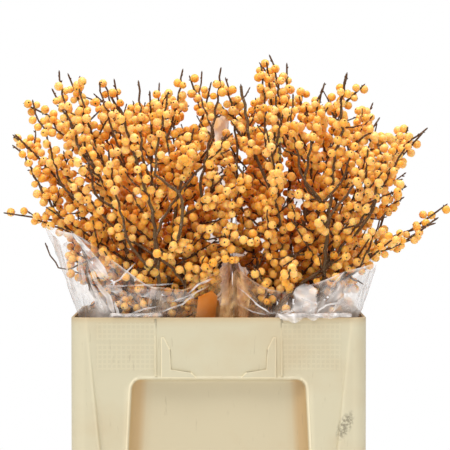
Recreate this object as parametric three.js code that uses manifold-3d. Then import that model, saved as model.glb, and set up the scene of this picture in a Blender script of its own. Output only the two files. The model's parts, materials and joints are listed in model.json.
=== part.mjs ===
// Golden winterberry branches in a flower bucket.
// Two bunches of cut berry branches stand side by side in a cream plastic flower bucket.
// Each bunch is held by a clear film sleeve, and the cut ends stand in shallow water.
// Millimetres, +Z up. The origin is the middle of the bucket's underside, and the front is -Y.

import * as THREE from "three";
import { mergeVertices } from "three/addons/utils/BufferGeometryUtils.js";
import Module from "manifold-3d";

const wasm = await Module();
wasm.setup();

// Bucket: a rectangular moulding with upright corner columns and panels that lean in below.
const BUCKET_WIDTH = 288;
const BUCKET_DEPTH = 200;
const BUCKET_HEIGHT = 340;
const BUCKET_WALL = 3;
const BUCKET_FLOOR = 4;
const COLUMN_RADIUS = 15;
const CORNER_STEPS = 4;
const GAP = 0.3;

// Leaning panels: each starts just below the rim and is deepest at the base.
const PANEL_TOP = 330;
const PANEL_LEAN = 13;
const FRONT_PANEL = { topWidth: 254, baseWidth: 188, plane: BUCKET_DEPTH / 2 };
const SIDE_PANEL = { topWidth: 160, baseWidth: 104, plane: BUCKET_WIDTH / 2 };

// The bay pressed into the front and back panels, and the card-holder rails above it.
const BAY_TOP = 280;
const BAY_BOTTOM = 92;
const BAY_TOP_WIDTH = 170;
const BAY_BOTTOM_WIDTH = 190;
const BAY_CORNER = 9;
const BAY_DEPTH = 12;
const BAY_FILLET = 10;
const RAIL_PROUD = 2.4;
const RAIL_FROM_MIDDLE = 56;
const RAIL_TOP = 321;
const RAIL_ROOT = 3;

const WATER_LEVEL = 42;

// Film sleeves. Distances are from the bucket's middle plane out to the film, on that bunch's side.
const FILM_THICKNESS = 0.8;
const FILM_SIDES = 24;
const FILM_SQUARENESS = 5;
const FILM_INNER = { left: -12, right: 16 };
const FILM_LEVELS = [
  { z: 112, outer: 121, half: 58 },
  { z: 262, outer: 131, half: 76 },
  { z: 318, outer: 136, half: 90 },
  { z: BUCKET_HEIGHT, outer: 140.3, half: 94 },
];
const FILM_SHARES_ABOVE = [0.34, 0.67, 1];
const FILM_RISE = { front: 30, back: 104, inner: 62, outer: { left: 58, right: 44 } };
const FILM_PEAKS = [
  { angle: -0.8, left: 46, right: 14 },
  { angle: 2.3, left: 108, right: 36 },
];
const FILM_FLARE_OUTER = 0.32;
const FILM_FLARE_HALF = 0.27;
const FILM_FLARE_HEIGHT = 104;
const FILM_RIPPLE = 6;
const FILM_PLEATS = 7;
const FILM_PLEAT_DEPTH = 0.05;

// The card between the bunches: a plain gabled slip inside the left sleeve's inner front corner.
const CARD_WIDTH = 21;
const CARD_HEIGHT = 66;
const CARD_SHOULDER = 60;
const CARD_APEX = 4;
const CARD_THICKNESS = 1;
const CARD_PLACE = { x: -17, y: -76, z: 301, turn: 30, lean: 12 };

// Branches: the tip of each main stem, as it stands. Side twigs reach a little past these.
const TIPS = {
  left: [
    [-204, -18, 518],
    [-172, 46, 566],
    [-150, -34, 578],
    [-116, 86, 560],
    [-106, 2, 574],
    [-128, -104, 502],
    [-68, -60, 560],
    [-62, 56, 572],
    [-8, -14, 570],
    [-24, -114, 522],
  ],
  right: [
    [22, 34, 550],
    [48, -28, 590],
    [70, 44, 592],
    [102, -50, 562],
    [130, 8, 578],
    [160, 68, 552],
    [206, 4, 520],
    [214, -46, 430],
    [46, -114, 522],
    [158, -100, 480],
  ],
};
const BUNCH_MIDDLE = { left: -64, right: 74 };
const NECK_HEIGHT = 352;
const NECK_SHARE = 0.34;
const FOOT_SHARE = 0.72;
const FOOT_RADIUS = 3.5;
const NECK_RADIUS = 2.6;
const TIP_RADIUS = 0.9;
const STEM_SIDES = 5;
const STEM_STEPS = 5;
const STEM_ZIGZAG = 1.6;
const STEM_BEND = 0.45;

// Side twigs, from the lowest to the highest on each stem.
const TWIGS = 5;
const TWIG_SHARES = [0.02, 0.86];
const TWIG_LENGTHS = [120, 46];
const TWIG_TILTS = [0.98, 0.6];
const TWIG_RADII = [1.5, 0.8];
const TWIG_VIGOUR = [0.75, 1.1];
const TWIG_JITTER = 0.5;
const TWIG_TILT_JITTER = 0.3;
const TWIG_SIDES = 3;
const TRIES = 10;
const GOLDEN_ANGLE = 2.39996;
const BRANCH_TURN = 1.7;
const TRY_TURN = 0.9;

// Berries sit against the twigs, each sunk in as far as the twig's axis.
const BERRY_RADIUS = 4.6;
const BERRY_OFFSET = 4.2;
const TWIG_BERRY_SHARES = [0.94, 0.6];
const STEM_BERRY_SHARES = [0.95];

const CLEARANCE = 0.6;
const FILM_CLEARANCE = 4;
const FILM_SLANT = 1.3;
const SEED = 20260;

// A number from 0 to 1 that depends only on its keys.
function chance(...keys) {
  let mixed = SEED;
  for (const key of keys) {
    mixed = Math.imul(mixed ^ (key + 1), 0x9e3779b1);
    mixed ^= mixed >>> 15;
    mixed = Math.imul(mixed, 0x85ebca6b);
    mixed ^= mixed >>> 13;
  }
  return (mixed >>> 0) / 4294967296;
}

const between = (low, high, share) => low + (high - low) * share;
const clamp = (value, low, high) => Math.min(high, Math.max(low, value));
const vector = (x, y, z) => new THREE.Vector3(x, y, z);

// Solids

function solidOf(geometry) {
  const bare = geometry.clone();
  bare.deleteAttribute("normal");
  bare.deleteAttribute("uv");
  const merged = mergeVertices(bare, 1e-3);
  return new wasm.Manifold(
    new wasm.Mesh({
      numProp: 3,
      vertProperties: new Float32Array(merged.attributes.position.array),
      triVerts: new Uint32Array(merged.index.array),
    }),
  );
}

function geometryOf(solid) {
  const mesh = solid.getMesh();
  const positions = new Float32Array(mesh.numVert * 3);
  for (let i = 0; i < mesh.numVert; i++) {
    for (let c = 0; c < 3; c++) positions[3 * i + c] = mesh.vertProperties[i * mesh.numProp + c];
  }
  const geometry = new THREE.BufferGeometry();
  geometry.setAttribute("position", new THREE.BufferAttribute(positions, 3));
  geometry.setIndex(new THREE.BufferAttribute(new Uint32Array(mesh.triVerts), 1));
  geometry.computeVertexNormals();
  return geometry;
}

function joined(solids) {
  return solids.reduce((all, one) => all.add(one));
}

// A mesh over rings of points. It closes on itself, or its two ends are capped.
// Walls that go down are split along the same diagonal as walls that go up, so the two faces of a
// thin twisted wall never cross.
function ringGeometry(rings, closes) {
  const sides = rings[0].length;
  const positions = rings.flat().flatMap((point) => point.toArray());
  const faces = [];
  const spans = closes ? rings.length : rings.length - 1;
  for (let i = 0; i < spans; i++) {
    const after = (i + 1) % rings.length;
    const goesDown = rings[after][0].z < rings[i][0].z;
    const [low, high] = [i * sides, after * sides];
    for (let k = 0; k < sides; k++) {
      const next = (k + 1) % sides;
      if (goesDown) faces.push(low + k, low + next, high + k, low + next, high + next, high + k);
      else faces.push(low + k, low + next, high + next, low + k, high + next, high + k);
    }
  }
  const last = (rings.length - 1) * sides;
  for (let k = 1; k < sides - 1 && !closes; k++) {
    faces.push(0, k + 1, k, last, last + k, last + k + 1);
  }
  const geometry = new THREE.BufferGeometry();
  geometry.setAttribute("position", new THREE.Float32BufferAttribute(positions, 3));
  geometry.setIndex(faces);
  return geometry;
}

// A rod through points that taper from one radius to another.
function rod(points, radii, sides) {
  const rings = points.map((point, i) => {
    const heading = points[Math.min(i + 1, points.length - 1)].clone();
    heading.sub(points[Math.max(i - 1, 0)]).normalize();
    const [side, other] = acrossAxes(heading);
    const radius = between(radii[0], radii[1], i / (points.length - 1));
    return Array.from({ length: sides }, (_, k) => {
      const angle = (2 * Math.PI * k) / sides;
      return point
        .clone()
        .addScaledVector(side, radius * Math.cos(angle))
        .addScaledVector(other, radius * Math.sin(angle));
    });
  });
  return solidOf(ringGeometry(rings, false));
}

// Two unit vectors across a direction, which turn with it.
function acrossAxes(heading) {
  const steep = Math.abs(heading.z) > 0.3;
  const side = vector(steep ? 1 : 0, 0, steep ? 0 : 1).cross(heading).normalize();
  return [side, heading.clone().cross(side)];
}

// Bucket

function shapeOf(points) {
  return new THREE.Shape(points.map(([x, y]) => new THREE.Vector2(x, y)));
}

// A closed shape with each of its corners rounded to a radius.
function roundedShape(points, radius) {
  const shape = new THREE.Shape();
  const corners = points.map(([x, y]) => new THREE.Vector2(x, y));
  corners.forEach((corner, i) => {
    const before = corners[(i + corners.length - 1) % corners.length];
    const after = corners[(i + 1) % corners.length];
    const start = before.clone().sub(corner).setLength(radius).add(corner);
    const end = after.clone().sub(corner).setLength(radius).add(corner);
    if (i === 0) shape.moveTo(start.x, start.y);
    else shape.lineTo(start.x, start.y);
    shape.quadraticCurveTo(corner.x, corner.y, end.x, end.y);
  });
  shape.closePath();
  return shape;
}

function prism(width, depth, radius, low, high) {
  const x = width / 2;
  const y = depth / 2;
  const outline = roundedShape([[-x, -y], [x, -y], [x, y], [-x, y]], radius);
  const geometry = new THREE.ExtrudeGeometry(outline, {
    depth: high - low,
    bevelEnabled: false,
    curveSegments: CORNER_STEPS,
  });
  return solidOf(geometry.translate(0, 0, low));
}

// How far a leaning panel has come in at a height.
const leanAt = (z) => (PANEL_LEAN * (PANEL_TOP - z)) / PANEL_TOP;

// What a leaning panel takes off the front, turned to the face it belongs to.
function panelWedge(panel, inset, turn) {
  const below = -1;
  const outside = 30;
  const geometry = new THREE.BoxGeometry(1, 1, 1);
  const position = geometry.attributes.position;
  for (let i = 0; i < position.count; i++) {
    const z = position.getZ(i) > 0 ? PANEL_TOP : below;
    const share = (PANEL_TOP - z) / PANEL_TOP;
    const half = between(panel.topWidth, panel.baseWidth, share) / 2 + inset;
    const face = inset + leanAt(z);
    const y = position.getY(i) > 0 ? face : -outside;
    position.setXYZ(i, Math.sign(position.getX(i)) * half, y - panel.plane, z);
  }
  return solidOf(geometry).rotate([0, 0, turn]);
}

// What the bay takes off: a rounded outline with a filleted floor that leans as its panel does.
function bayCut(inset, turn) {
  const trim = BAY_FILLET - inset;
  const top = BAY_TOP - trim;
  const bottom = BAY_BOTTOM + trim;
  const halfAt = (z) => {
    const share = (BAY_TOP - z) / (BAY_TOP - BAY_BOTTOM);
    return between(BAY_TOP_WIDTH, BAY_BOTTOM_WIDTH, share) / 2 - trim;
  };
  const corners = [
    [-halfAt(bottom), bottom],
    [halfAt(bottom), bottom],
    [halfAt(top), top],
    [-halfAt(top), top],
  ];
  const geometry = new THREE.ExtrudeGeometry(roundedShape(corners, BAY_CORNER), {
    depth: 2 * BAY_DEPTH,
    curveSegments: 3,
    bevelEnabled: true,
    bevelThickness: BAY_FILLET,
    bevelSize: BAY_FILLET,
    bevelSegments: 2,
  });
  geometry.translate(0, 0, BAY_FILLET).rotateX(Math.PI / 2);
  const position = geometry.attributes.position;
  for (let i = 0; i < position.count; i++) {
    const floor = BAY_DEPTH + inset + leanAt(position.getZ(i)) - BUCKET_DEPTH / 2;
    position.setY(i, position.getY(i) + floor);
  }
  return solidOf(geometry).rotate([0, 0, turn]);
}

// One rail of the card holder: an upright that turns into a ledge at its foot.
function cardRail(side, turn) {
  const outer = RAIL_FROM_MIDDLE;
  const foot = BAY_TOP + 1;
  const points = [
    [outer, foot],
    [outer, RAIL_TOP],
    [outer - 3, RAIL_TOP],
    [outer - 9, RAIL_TOP - 12],
    [outer - 9, foot + 8],
    [outer - 29, foot + 6],
    [outer - 35, foot],
  ].map(([x, z]) => [side * x, z]);
  const geometry = new THREE.ExtrudeGeometry(shapeOf(points), {
    depth: RAIL_PROUD + RAIL_ROOT,
    bevelEnabled: false,
  });
  geometry.rotateX(Math.PI / 2).translate(0, RAIL_ROOT - BUCKET_DEPTH / 2 + leanAt(foot), 0);
  return solidOf(geometry).rotate([0, 0, turn]);
}

// The bucket's form between two heights, with every wall moved in by inset.
function bucketForm(inset, low, high) {
  const width = BUCKET_WIDTH - 2 * inset;
  const depth = BUCKET_DEPTH - 2 * inset;
  const fronts = [0, 180].flatMap((turn) => [
    panelWedge(FRONT_PANEL, inset, turn),
    bayCut(inset, turn),
  ]);
  const sides = [90, 270].map((turn) => panelWedge(SIDE_PANEL, inset, turn));
  const whole = prism(width, depth, COLUMN_RADIUS - inset, low, high);
  return whole.subtract(joined([...fronts, ...sides]));
}

function bucket() {
  const above = 5;
  const inside = bucketForm(BUCKET_WALL, BUCKET_FLOOR, BUCKET_HEIGHT + above);
  const shell = bucketForm(0, 0, BUCKET_HEIGHT).subtract(inside);
  const rails = [0, 180].flatMap((turn) => [cardRail(1, turn), cardRail(-1, turn)]);
  return joined([shell, ...rails]);
}

// Film sleeves

const sideOf = (bunch) => (bunch === "left" ? -1 : 1);

// The film's outer and half-depth distances at a height.
function filmSizeAt(z) {
  const rim = FILM_LEVELS[FILM_LEVELS.length - 1];
  if (z >= rim.z) {
    const above = Math.min(z - rim.z, FILM_FLARE_HEIGHT);
    const outer = rim.outer + FILM_FLARE_OUTER * above;
    return { outer, half: rim.half + FILM_FLARE_HALF * above };
  }
  const high = Math.max(1, FILM_LEVELS.findIndex((level) => level.z > z));
  const [a, b] = [FILM_LEVELS[high - 1], FILM_LEVELS[high]];
  const share = (z - a.z) / (b.z - a.z);
  return { outer: between(a.outer, b.outer, share), half: between(a.half, b.half, share) };
}

// How high the film's edge stands above the rim, at an angle from the bunch's outer side.
function filmRise(bunch, angle) {
  const [c, s] = [Math.cos(angle), Math.sin(angle)];
  const sideways = c * c * (c > 0 ? FILM_RISE.outer[bunch] : FILM_RISE.inner);
  const endways = s * s * (s > 0 ? FILM_RISE.back : FILM_RISE.front);
  const peaks = FILM_PEAKS.map((peak) => peak[bunch] * Math.max(0, Math.cos(angle - peak.angle)) ** 6);
  return sideways + endways + peaks[0] + peaks[1] + FILM_RIPPLE * Math.sin(5 * angle + 1);
}

// The film's middle line and its reach from there, at an angle and a height.
function filmAt(bunch, angle, z) {
  const { outer, half } = filmSizeAt(z);
  const middle = (outer + FILM_INNER[bunch]) / 2;
  const across = Math.abs(Math.cos(angle)) / (outer - middle);
  const deep = Math.abs(Math.sin(angle)) / half;
  const reach = (across ** FILM_SQUARENESS + deep ** FILM_SQUARENESS) ** (-1 / FILM_SQUARENESS);
  const loose = clamp((z - BUCKET_HEIGHT) / 100, 0, 1) * (1 + Math.cos(angle)) / 2;
  const pleat = FILM_PLEAT_DEPTH * loose * Math.sin(FILM_PLEATS * angle);
  return { middle, reach: reach * (1 + pleat) };
}

function filmPoint(bunch, angle, z, inset) {
  const { middle, reach } = filmAt(bunch, angle, z);
  const u = middle + (reach - inset) * Math.cos(angle);
  return vector(sideOf(bunch) * u, (reach - inset) * Math.sin(angle), z);
}

function sleeve(bunch) {
  const heights = [
    ...FILM_LEVELS.map((level) => () => level.z),
    ...FILM_SHARES_ABOVE.map((share) => (angle) => BUCKET_HEIGHT + share * filmRise(bunch, angle)),
  ];
  const ring = (height, inset) =>
    Array.from({ length: FILM_SIDES }, (_, k) => {
      const angle = (sideOf(bunch) * 2 * Math.PI * k) / FILM_SIDES;
      return filmPoint(bunch, angle, height(angle), inset);
    });
  const outside = heights.map((height) => ring(height, 0));
  const inside = heights.map((height) => ring(height, FILM_THICKNESS)).reverse();
  return solidOf(ringGeometry([...inside, ...outside], true));
}

// Where a ball stands to a sleeve: "in" and "over" are clear of the film, and so is "out".
function placeAgainstFilm(bunch, point, radius) {
  const margin = FILM_SLANT * (radius + FILM_CLEARANCE);
  const { middle } = filmAt(bunch, 0, point.z);
  const [u, v] = [sideOf(bunch) * point.x - middle, point.y];
  const angle = Math.atan2(v, u);
  if (point.z - margin > BUCKET_HEIGHT + filmRise(bunch, angle)) return "over";
  const { reach } = filmAt(bunch, angle, point.z);
  const distance = Math.hypot(u, v);
  if (distance < reach - margin) return "in";
  return distance > reach + margin ? "out" : "crossing";
}

function clearOfFilm(bunch, point, radius) {
  const other = bunch === "left" ? "right" : "left";
  const own = placeAgainstFilm(bunch, point, radius);
  const next = placeAgainstFilm(other, point, radius);
  return (own === "in" || own === "over") && (next === "out" || next === "over");
}

function runClearOfFilm(bunch, points, radius) {
  const samples = 12;
  return Array.from({ length: samples + 1 }, (_, k) => along(points, k / samples).point).every(
    (point) => clearOfFilm(bunch, point, radius),
  );
}

// Branches

// A main stem: straight from its cut end to the neck at the rim, then fanning out to its tip.
function stemOf(bunch, tip, number) {
  const middle = BUNCH_MIDDLE[bunch];
  const end = vector(...tip);
  const neck = vector(middle + (end.x - middle) * NECK_SHARE, end.y * NECK_SHARE, NECK_HEIGHT);
  const foot = vector(
    middle + (neck.x - middle) * FOOT_SHARE,
    neck.y * FOOT_SHARE,
    BUCKET_FLOOR + 1.5 * GAP,
  );
  const heading = neck.clone().sub(foot).normalize();
  const bend = neck.clone().addScaledVector(heading, STEM_BEND * end.distanceTo(neck));
  const curve = new THREE.QuadraticBezierCurve3(neck, bend, end);
  const crown = curve.getPoints(STEM_STEPS);
  const angle = 2 * Math.PI * chance(number, 1);
  crown.slice(1, -1).forEach((point, i) => {
    const swing = i % 2 ? -STEM_ZIGZAG : STEM_ZIGZAG;
    point.add(vector(swing * Math.cos(angle), swing * Math.sin(angle), 0));
  });
  return { foot, crown };
}

// The point and direction at a share of a run of points.
function along(points, share) {
  const place = clamp(share, 0, 1) * (points.length - 1);
  const i = Math.min(Math.floor(place), points.length - 2);
  const direction = points[i + 1].clone().sub(points[i]).normalize();
  return { point: points[i].clone().lerp(points[i + 1], place - i), direction };
}

// One try at a side twig: a straight shoot that leaves the stem at an angle.
function twigOf(branch, order, attempt) {
  const { crown, number } = branch;
  const draw = (k) => chance(number, order, attempt, k);
  const rank = clamp((order + TWIG_JITTER * (draw(2) - 0.5)) / (TWIGS - 1), 0, 1);
  const { point, direction } = along(crown, between(...TWIG_SHARES, rank));
  const length = between(...TWIG_LENGTHS, rank) * between(...TWIG_VIGOUR, draw(3));
  const tilt = between(...TWIG_TILTS, rank) + TWIG_TILT_JITTER * (draw(4) - 0.5);
  const azimuth = BRANCH_TURN * number + GOLDEN_ANGLE * order + TRY_TURN * attempt;
  const [side, other] = acrossAxes(direction);
  const heading = direction
    .multiplyScalar(Math.cos(tilt))
    .addScaledVector(side, Math.sin(tilt) * Math.cos(azimuth))
    .addScaledVector(other, Math.sin(tilt) * Math.sin(azimuth));
  return [point, point.clone().addScaledVector(heading, length)];
}

// A berry's centre beside a twig or stem, and the direction in which it stands off.
function berryOn(points, share, ...keys) {
  const { point, direction } = along(points, share);
  const [side, other] = acrossAxes(direction);
  const angle = 2 * Math.PI * chance(...keys);
  const outward = side.multiplyScalar(Math.cos(angle)).addScaledVector(other, Math.sin(angle));
  return { centre: point.addScaledVector(outward, BERRY_OFFSET), outward };
}

// The shortest distance between two straight pieces.
function gapBetween(a, b) {
  const u = a.end.clone().sub(a.start);
  const v = b.end.clone().sub(b.start);
  const w = a.start.clone().sub(b.start);
  const [uu, uv, vv] = [u.dot(u), u.dot(v), v.dot(v)];
  const [uw, vw] = [u.dot(w), v.dot(w)];
  const spread = uu * vv - uv * uv;
  let s = spread > 1e-9 ? clamp((uv * vw - vv * uw) / spread, 0, 1) : 0;
  const t = vv > 1e-9 ? clamp((uv * s + vw) / vv, 0, 1) : 0;
  if (uu > 1e-9) s = clamp((uv * t - uw) / uu, 0, 1);
  return w.addScaledVector(u, s).addScaledVector(v, -t).length();
}

// Straight pieces of a run of points, as thick as its thicker end.
function piecesOf(points, radius, owner) {
  return points.slice(1).map((end, i) => ({ start: points[i], end, radius, owner }));
}

function clearOfOthers(pieces, placed) {
  return pieces.every((piece) =>
    placed.every((other) => {
      if (other.owner === piece.owner) return true;
      return gapBetween(piece, other) > piece.radius + other.radius + CLEARANCE;
    }),
  );
}

// The branches of both bunches: stems first, then twigs, then berries where they fit.
function growBranches() {
  const branches = Object.entries(TIPS).flatMap(([bunch, tips], half) =>
    tips.map((tip, i) => {
      const number = half * tips.length + i;
      const name = `${bunch}_branch_${String(i + 1).padStart(2, "0")}`;
      return { name, bunch, number, ...stemOf(bunch, tip, number), twigs: [], berries: [] };
    }),
  );
  const placed = branches.flatMap((branch) =>
    piecesOf([branch.foot, ...branch.crown], NECK_RADIUS, branch.number),
  );

  for (let order = 0; order < TWIGS; order++) {
    for (const branch of branches) {
      for (let attempt = 0; attempt < TRIES; attempt++) {
        const points = twigOf(branch, order, attempt);
        const pieces = piecesOf(points, TWIG_RADII[0], branch.number);
        if (!runClearOfFilm(branch.bunch, points, TWIG_RADII[0])) continue;
        if (!clearOfOthers(pieces, placed)) continue;
        branch.twigs.push({ points, order });
        placed.push(...pieces);
        break;
      }
    }
  }

  const addBerry = (branch, points, share, run, k) => {
    for (let attempt = 0; attempt < TRIES; attempt++) {
      const berry = berryOn(points, share, branch.number, run, k, attempt);
      const { centre } = berry;
      const ball = { start: centre, end: centre, radius: BERRY_RADIUS, owner: branch.number };
      if (!clearOfFilm(branch.bunch, centre, BERRY_RADIUS)) continue;
      if (!clearOfOthers([ball], placed)) continue;
      branch.berries.push(berry);
      placed.push(ball);
      return;
    }
  };
  for (const branch of branches) {
    STEM_BERRY_SHARES.forEach((share, k) => addBerry(branch, branch.crown, share, 90, k));
    for (const twig of branch.twigs) {
      TWIG_BERRY_SHARES.forEach((share, k) => addBerry(branch, twig.points, share, twig.order, k));
    }
  }
  return branches;
}

function branchSolid({ foot, crown, twigs, berries }) {
  const stem = [rod([foot, crown[0]], [FOOT_RADIUS, NECK_RADIUS], STEM_SIDES)];
  stem.push(rod(crown, [NECK_RADIUS, TIP_RADIUS], STEM_SIDES));
  const sides = twigs.map(({ points }) => rod(points, TWIG_RADII, TWIG_SIDES));
  return joined([...stem, ...sides, ...berries.map(berrySolid)]);
}

// A berry with one of its corners pointing at the axis that it grows on.
function berrySolid({ centre, outward }) {
  const ball = new THREE.IcosahedronGeometry(BERRY_RADIUS);
  const corner = new THREE.Vector3().fromBufferAttribute(ball.attributes.position, 0);
  const turn = new THREE.Quaternion();
  turn.setFromUnitVectors(corner.normalize(), outward.clone().negate());
  return solidOf(ball.applyQuaternion(turn).translate(...centre.toArray()));
}

// Water on the floor, with a plain hole where each stem stands in it.
function water(branches) {
  const form = bucketForm(BUCKET_WALL + GAP, BUCKET_FLOOR + GAP, WATER_LEVEL);
  const holes = branches.map(({ foot, crown }) => {
    const past = foot.clone().sub(crown[0]).setLength(20).add(foot);
    const radius = FOOT_RADIUS + 2 * GAP;
    return rod([past, crown[0]], [radius, radius], STEM_SIDES);
  });
  return form.subtract(joined(holes));
}

function card() {
  const x = CARD_WIDTH / 2;
  const gable = [[x, CARD_SHOULDER], [CARD_APEX, CARD_HEIGHT], [-x, CARD_SHOULDER]];
  const geometry = new THREE.ExtrudeGeometry(shapeOf([[-x, 0], [x, 0], ...gable]), {
    depth: CARD_THICKNESS,
    bevelEnabled: false,
  });
  geometry.rotateX(Math.PI / 2 + THREE.MathUtils.degToRad(CARD_PLACE.lean));
  geometry.rotateZ(THREE.MathUtils.degToRad(CARD_PLACE.turn));
  return solidOf(geometry.translate(CARD_PLACE.x, CARD_PLACE.y, CARD_PLACE.z));
}

// Scene

const LOOKS = {
  bucket: { color: 0xdcd3b1, roughness: 0.45, metalness: 0 },
  water: { color: 0xbfd0cf, roughness: 0.1, metalness: 0 },
  film: { color: 0xe9eef0, roughness: 0.12, metalness: 0, transparent: true, opacity: 0.35 },
  card: { color: 0xb8690f, roughness: 0.7, metalness: 0 },
  branch: { color: 0xe9a23b, roughness: 0.4, metalness: 0 },
};

function meshOf(name, solid, look) {
  const mesh = new THREE.Mesh(geometryOf(solid), new THREE.MeshStandardMaterial(LOOKS[look]));
  mesh.name = name;
  return mesh;
}

const branches = growBranches();
const part = new THREE.Group();
part.add(meshOf("bucket", bucket(), "bucket"));
part.add(meshOf("water", water(branches), "water"));
part.add(meshOf("sleeve_left", sleeve("left"), "film"));
part.add(meshOf("sleeve_right", sleeve("right"), "film"));
part.add(meshOf("orange_card", card(), "card"));
for (const branch of branches) part.add(meshOf(branch.name, branchSolid(branch), "branch"));

export default part;
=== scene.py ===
"""Golden winterberry branches in a flower bucket.

Two bunches of cut berry branches stand in shallow water in a cream plastic flower bucket, each
inside a clear film sleeve. Lengths are millimetres until a mesh is made, and metres after that.
The front of the bucket is -Y, and the origin is the middle of its underside.
"""

import json
import math
from functools import partial
from itertools import product

import bmesh
import bpy
import numpy
from mathutils import Euler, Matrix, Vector, noise

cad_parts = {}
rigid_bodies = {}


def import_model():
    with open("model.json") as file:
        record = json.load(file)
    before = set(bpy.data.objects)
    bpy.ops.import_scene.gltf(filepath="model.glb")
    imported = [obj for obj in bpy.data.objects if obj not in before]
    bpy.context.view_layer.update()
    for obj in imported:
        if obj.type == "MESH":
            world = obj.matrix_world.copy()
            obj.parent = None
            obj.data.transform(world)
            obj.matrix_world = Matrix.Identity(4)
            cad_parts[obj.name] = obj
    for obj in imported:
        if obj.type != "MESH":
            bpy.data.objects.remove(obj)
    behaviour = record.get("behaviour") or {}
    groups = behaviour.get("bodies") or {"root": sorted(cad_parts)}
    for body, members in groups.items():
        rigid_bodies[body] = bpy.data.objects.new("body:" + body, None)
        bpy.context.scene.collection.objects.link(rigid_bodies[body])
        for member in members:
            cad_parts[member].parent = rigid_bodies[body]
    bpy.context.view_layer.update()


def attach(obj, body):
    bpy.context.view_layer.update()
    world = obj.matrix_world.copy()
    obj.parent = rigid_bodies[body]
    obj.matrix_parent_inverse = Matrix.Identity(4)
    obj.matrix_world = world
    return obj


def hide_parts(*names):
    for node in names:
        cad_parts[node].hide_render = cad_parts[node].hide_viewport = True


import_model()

bl_info = {
    "name": "Winterberry bucket",
    "version": (1, 0, 0),
    "blender": (4, 5, 0),
    "location": "3D View > Sidebar > Winterberry",
    "description": "Builds two sleeved bunches of golden winterberry in a plastic flower bucket",
    "category": "Object",
}

MILLIMETRE = 0.001

# The bucket, as in the CAD: upright corner columns, and panels that lean in below.
BUCKET_WIDTH = 288.0
BUCKET_DEPTH = 200.0
BUCKET_HEIGHT = 340.0
BUCKET_WALL = 3.0
BUCKET_FLOOR = 4.0
COLUMN_RADIUS = 15.0
CORNER_STEPS = 8
RIM_ROUND = 1.2
PANEL_TOP = 330.0
PANEL_LEAN = 13.0
PANEL_STEP = 2.2
FRONT_PANEL = {"top": 254.0, "base": 188.0}
SIDE_PANEL = {"top": 160.0, "base": 104.0}
BAY_TOP = 280.0
BAY_BOTTOM = 92.0
BAY_TOP_WIDTH = 170.0
BAY_BOTTOM_WIDTH = 190.0
BAY_DEPTH = 12.0
BAY_CORNER = 10.0
BAY_SIDE_SLOPE = 16.0
BAY_END_SLOPE = 5.0
BAY_LIP = 0.8
BAY_LIP_WIDTH = 2.6
# Painted shade on the bay's floor, as a share of that by its side walls.
BAY_FLOOR_SHADE = 0.2
# Painted shade on the outside just under the rim.
RIM_SHADE = 0.5
# Painted highlight on the edges of the card rails and ridges.
EDGE_HIGHLIGHT = 0.8
# Painted highlight along the panels' seams.
SEAM_HIGHLIGHT = 0.3
# A dark scuff on the front's right-hand column: its middle, its half-sizes and how far it leans.
SCUFF_PLACE = (0.123, -0.1, 0.235)
SCUFF_HALF_SIZE = (0.0066, 0.03, 0.0155)
SCUFF_LEAN = -0.44
WALL_SHARES = (0.04, 0.1, 0.18, 0.29, 0.42, 0.57, 0.76, 1.0)
RAIL_FROM_MIDDLE = 56.0
RAIL_TOP = 321.0
RAIL_FOOT = 281.0
RAIL_PROUD = 2.4
RAIL_ROOT = 3.0
RAIL_EDGE = 1.3
RIDGE_FROM_MIDDLE = 60.5
RIDGE_WIDTH = 1.6
RIDGE_PROUD = 0.9
RIDGE_EDGE = 0.1
# Each grid of grip bars: its middle and size across the panel and up it.
GRIP_GRIDS = [
    {"x": 90.0, "z": 326.3, "width": 58.0, "height": 17.0},
    {"x": 90.0, "z": 301.6, "width": 58.0, "height": 26.0},
]
# The level bars stand out less than the upright ones, and all of them carry a faint painted highlight.
LEVEL_BAR_HEIGHT = 0.8
GRIP_HIGHLIGHT = 0.16

# The film sleeves, as in the CAD. Distances are from the bucket's middle plane outwards.
FILM_SQUARENESS = 5
FILM_INNER = {"left": -12.0, "right": 16.0}
FILM_LEVELS = [(112.0, 121.0, 58.0), (262.0, 131.0, 76.0), (318.0, 136.0, 90.0), (340.0, 140.3, 94.0)]
FILM_RISE = {"front": 30.0, "back": 104.0, "inner": 62.0, "left": 58.0, "right": 44.0}
FILM_PEAKS = [{"angle": -0.8, "left": 46.0, "right": 14.0}, {"angle": 2.3, "left": 117.0, "right": 36.0}]
FILM_FLARE_OUTER = 0.32
FILM_FLARE_HALF = 0.27
FILM_FLARE_HEIGHT = 104.0
FILM_RIPPLE = 6.0
FILM_PLEATS = 7
FILM_PLEAT_DEPTH = 0.05
# How far the two sleeves' inner walls wave together, and how the film's noise differs by sleeve.
FILM_WAVE = 9.0
FILM_SHIFT = {"left": 31.0, "right": 87.0}
FILM_MIRROR_CLOUD = 1.05
# The left sleeve's highest fold, behind between the bunches, and the opening in the crown before it:
# the opening's middle and half-size, across and up, seen from the front.
# That fold is made opaque, and shows the painted reflection of the bunches.
FILM_TOP_FOLD = {"x": -2.0, "half": 26.0, "from": 500.0, "y": 95.0, "cloud": 1.3}
CROWN_OPENING = ((1.5, 528.0), (13.0, 11.0))
EYE = (6.2, -2300.0, 486.0)
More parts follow.
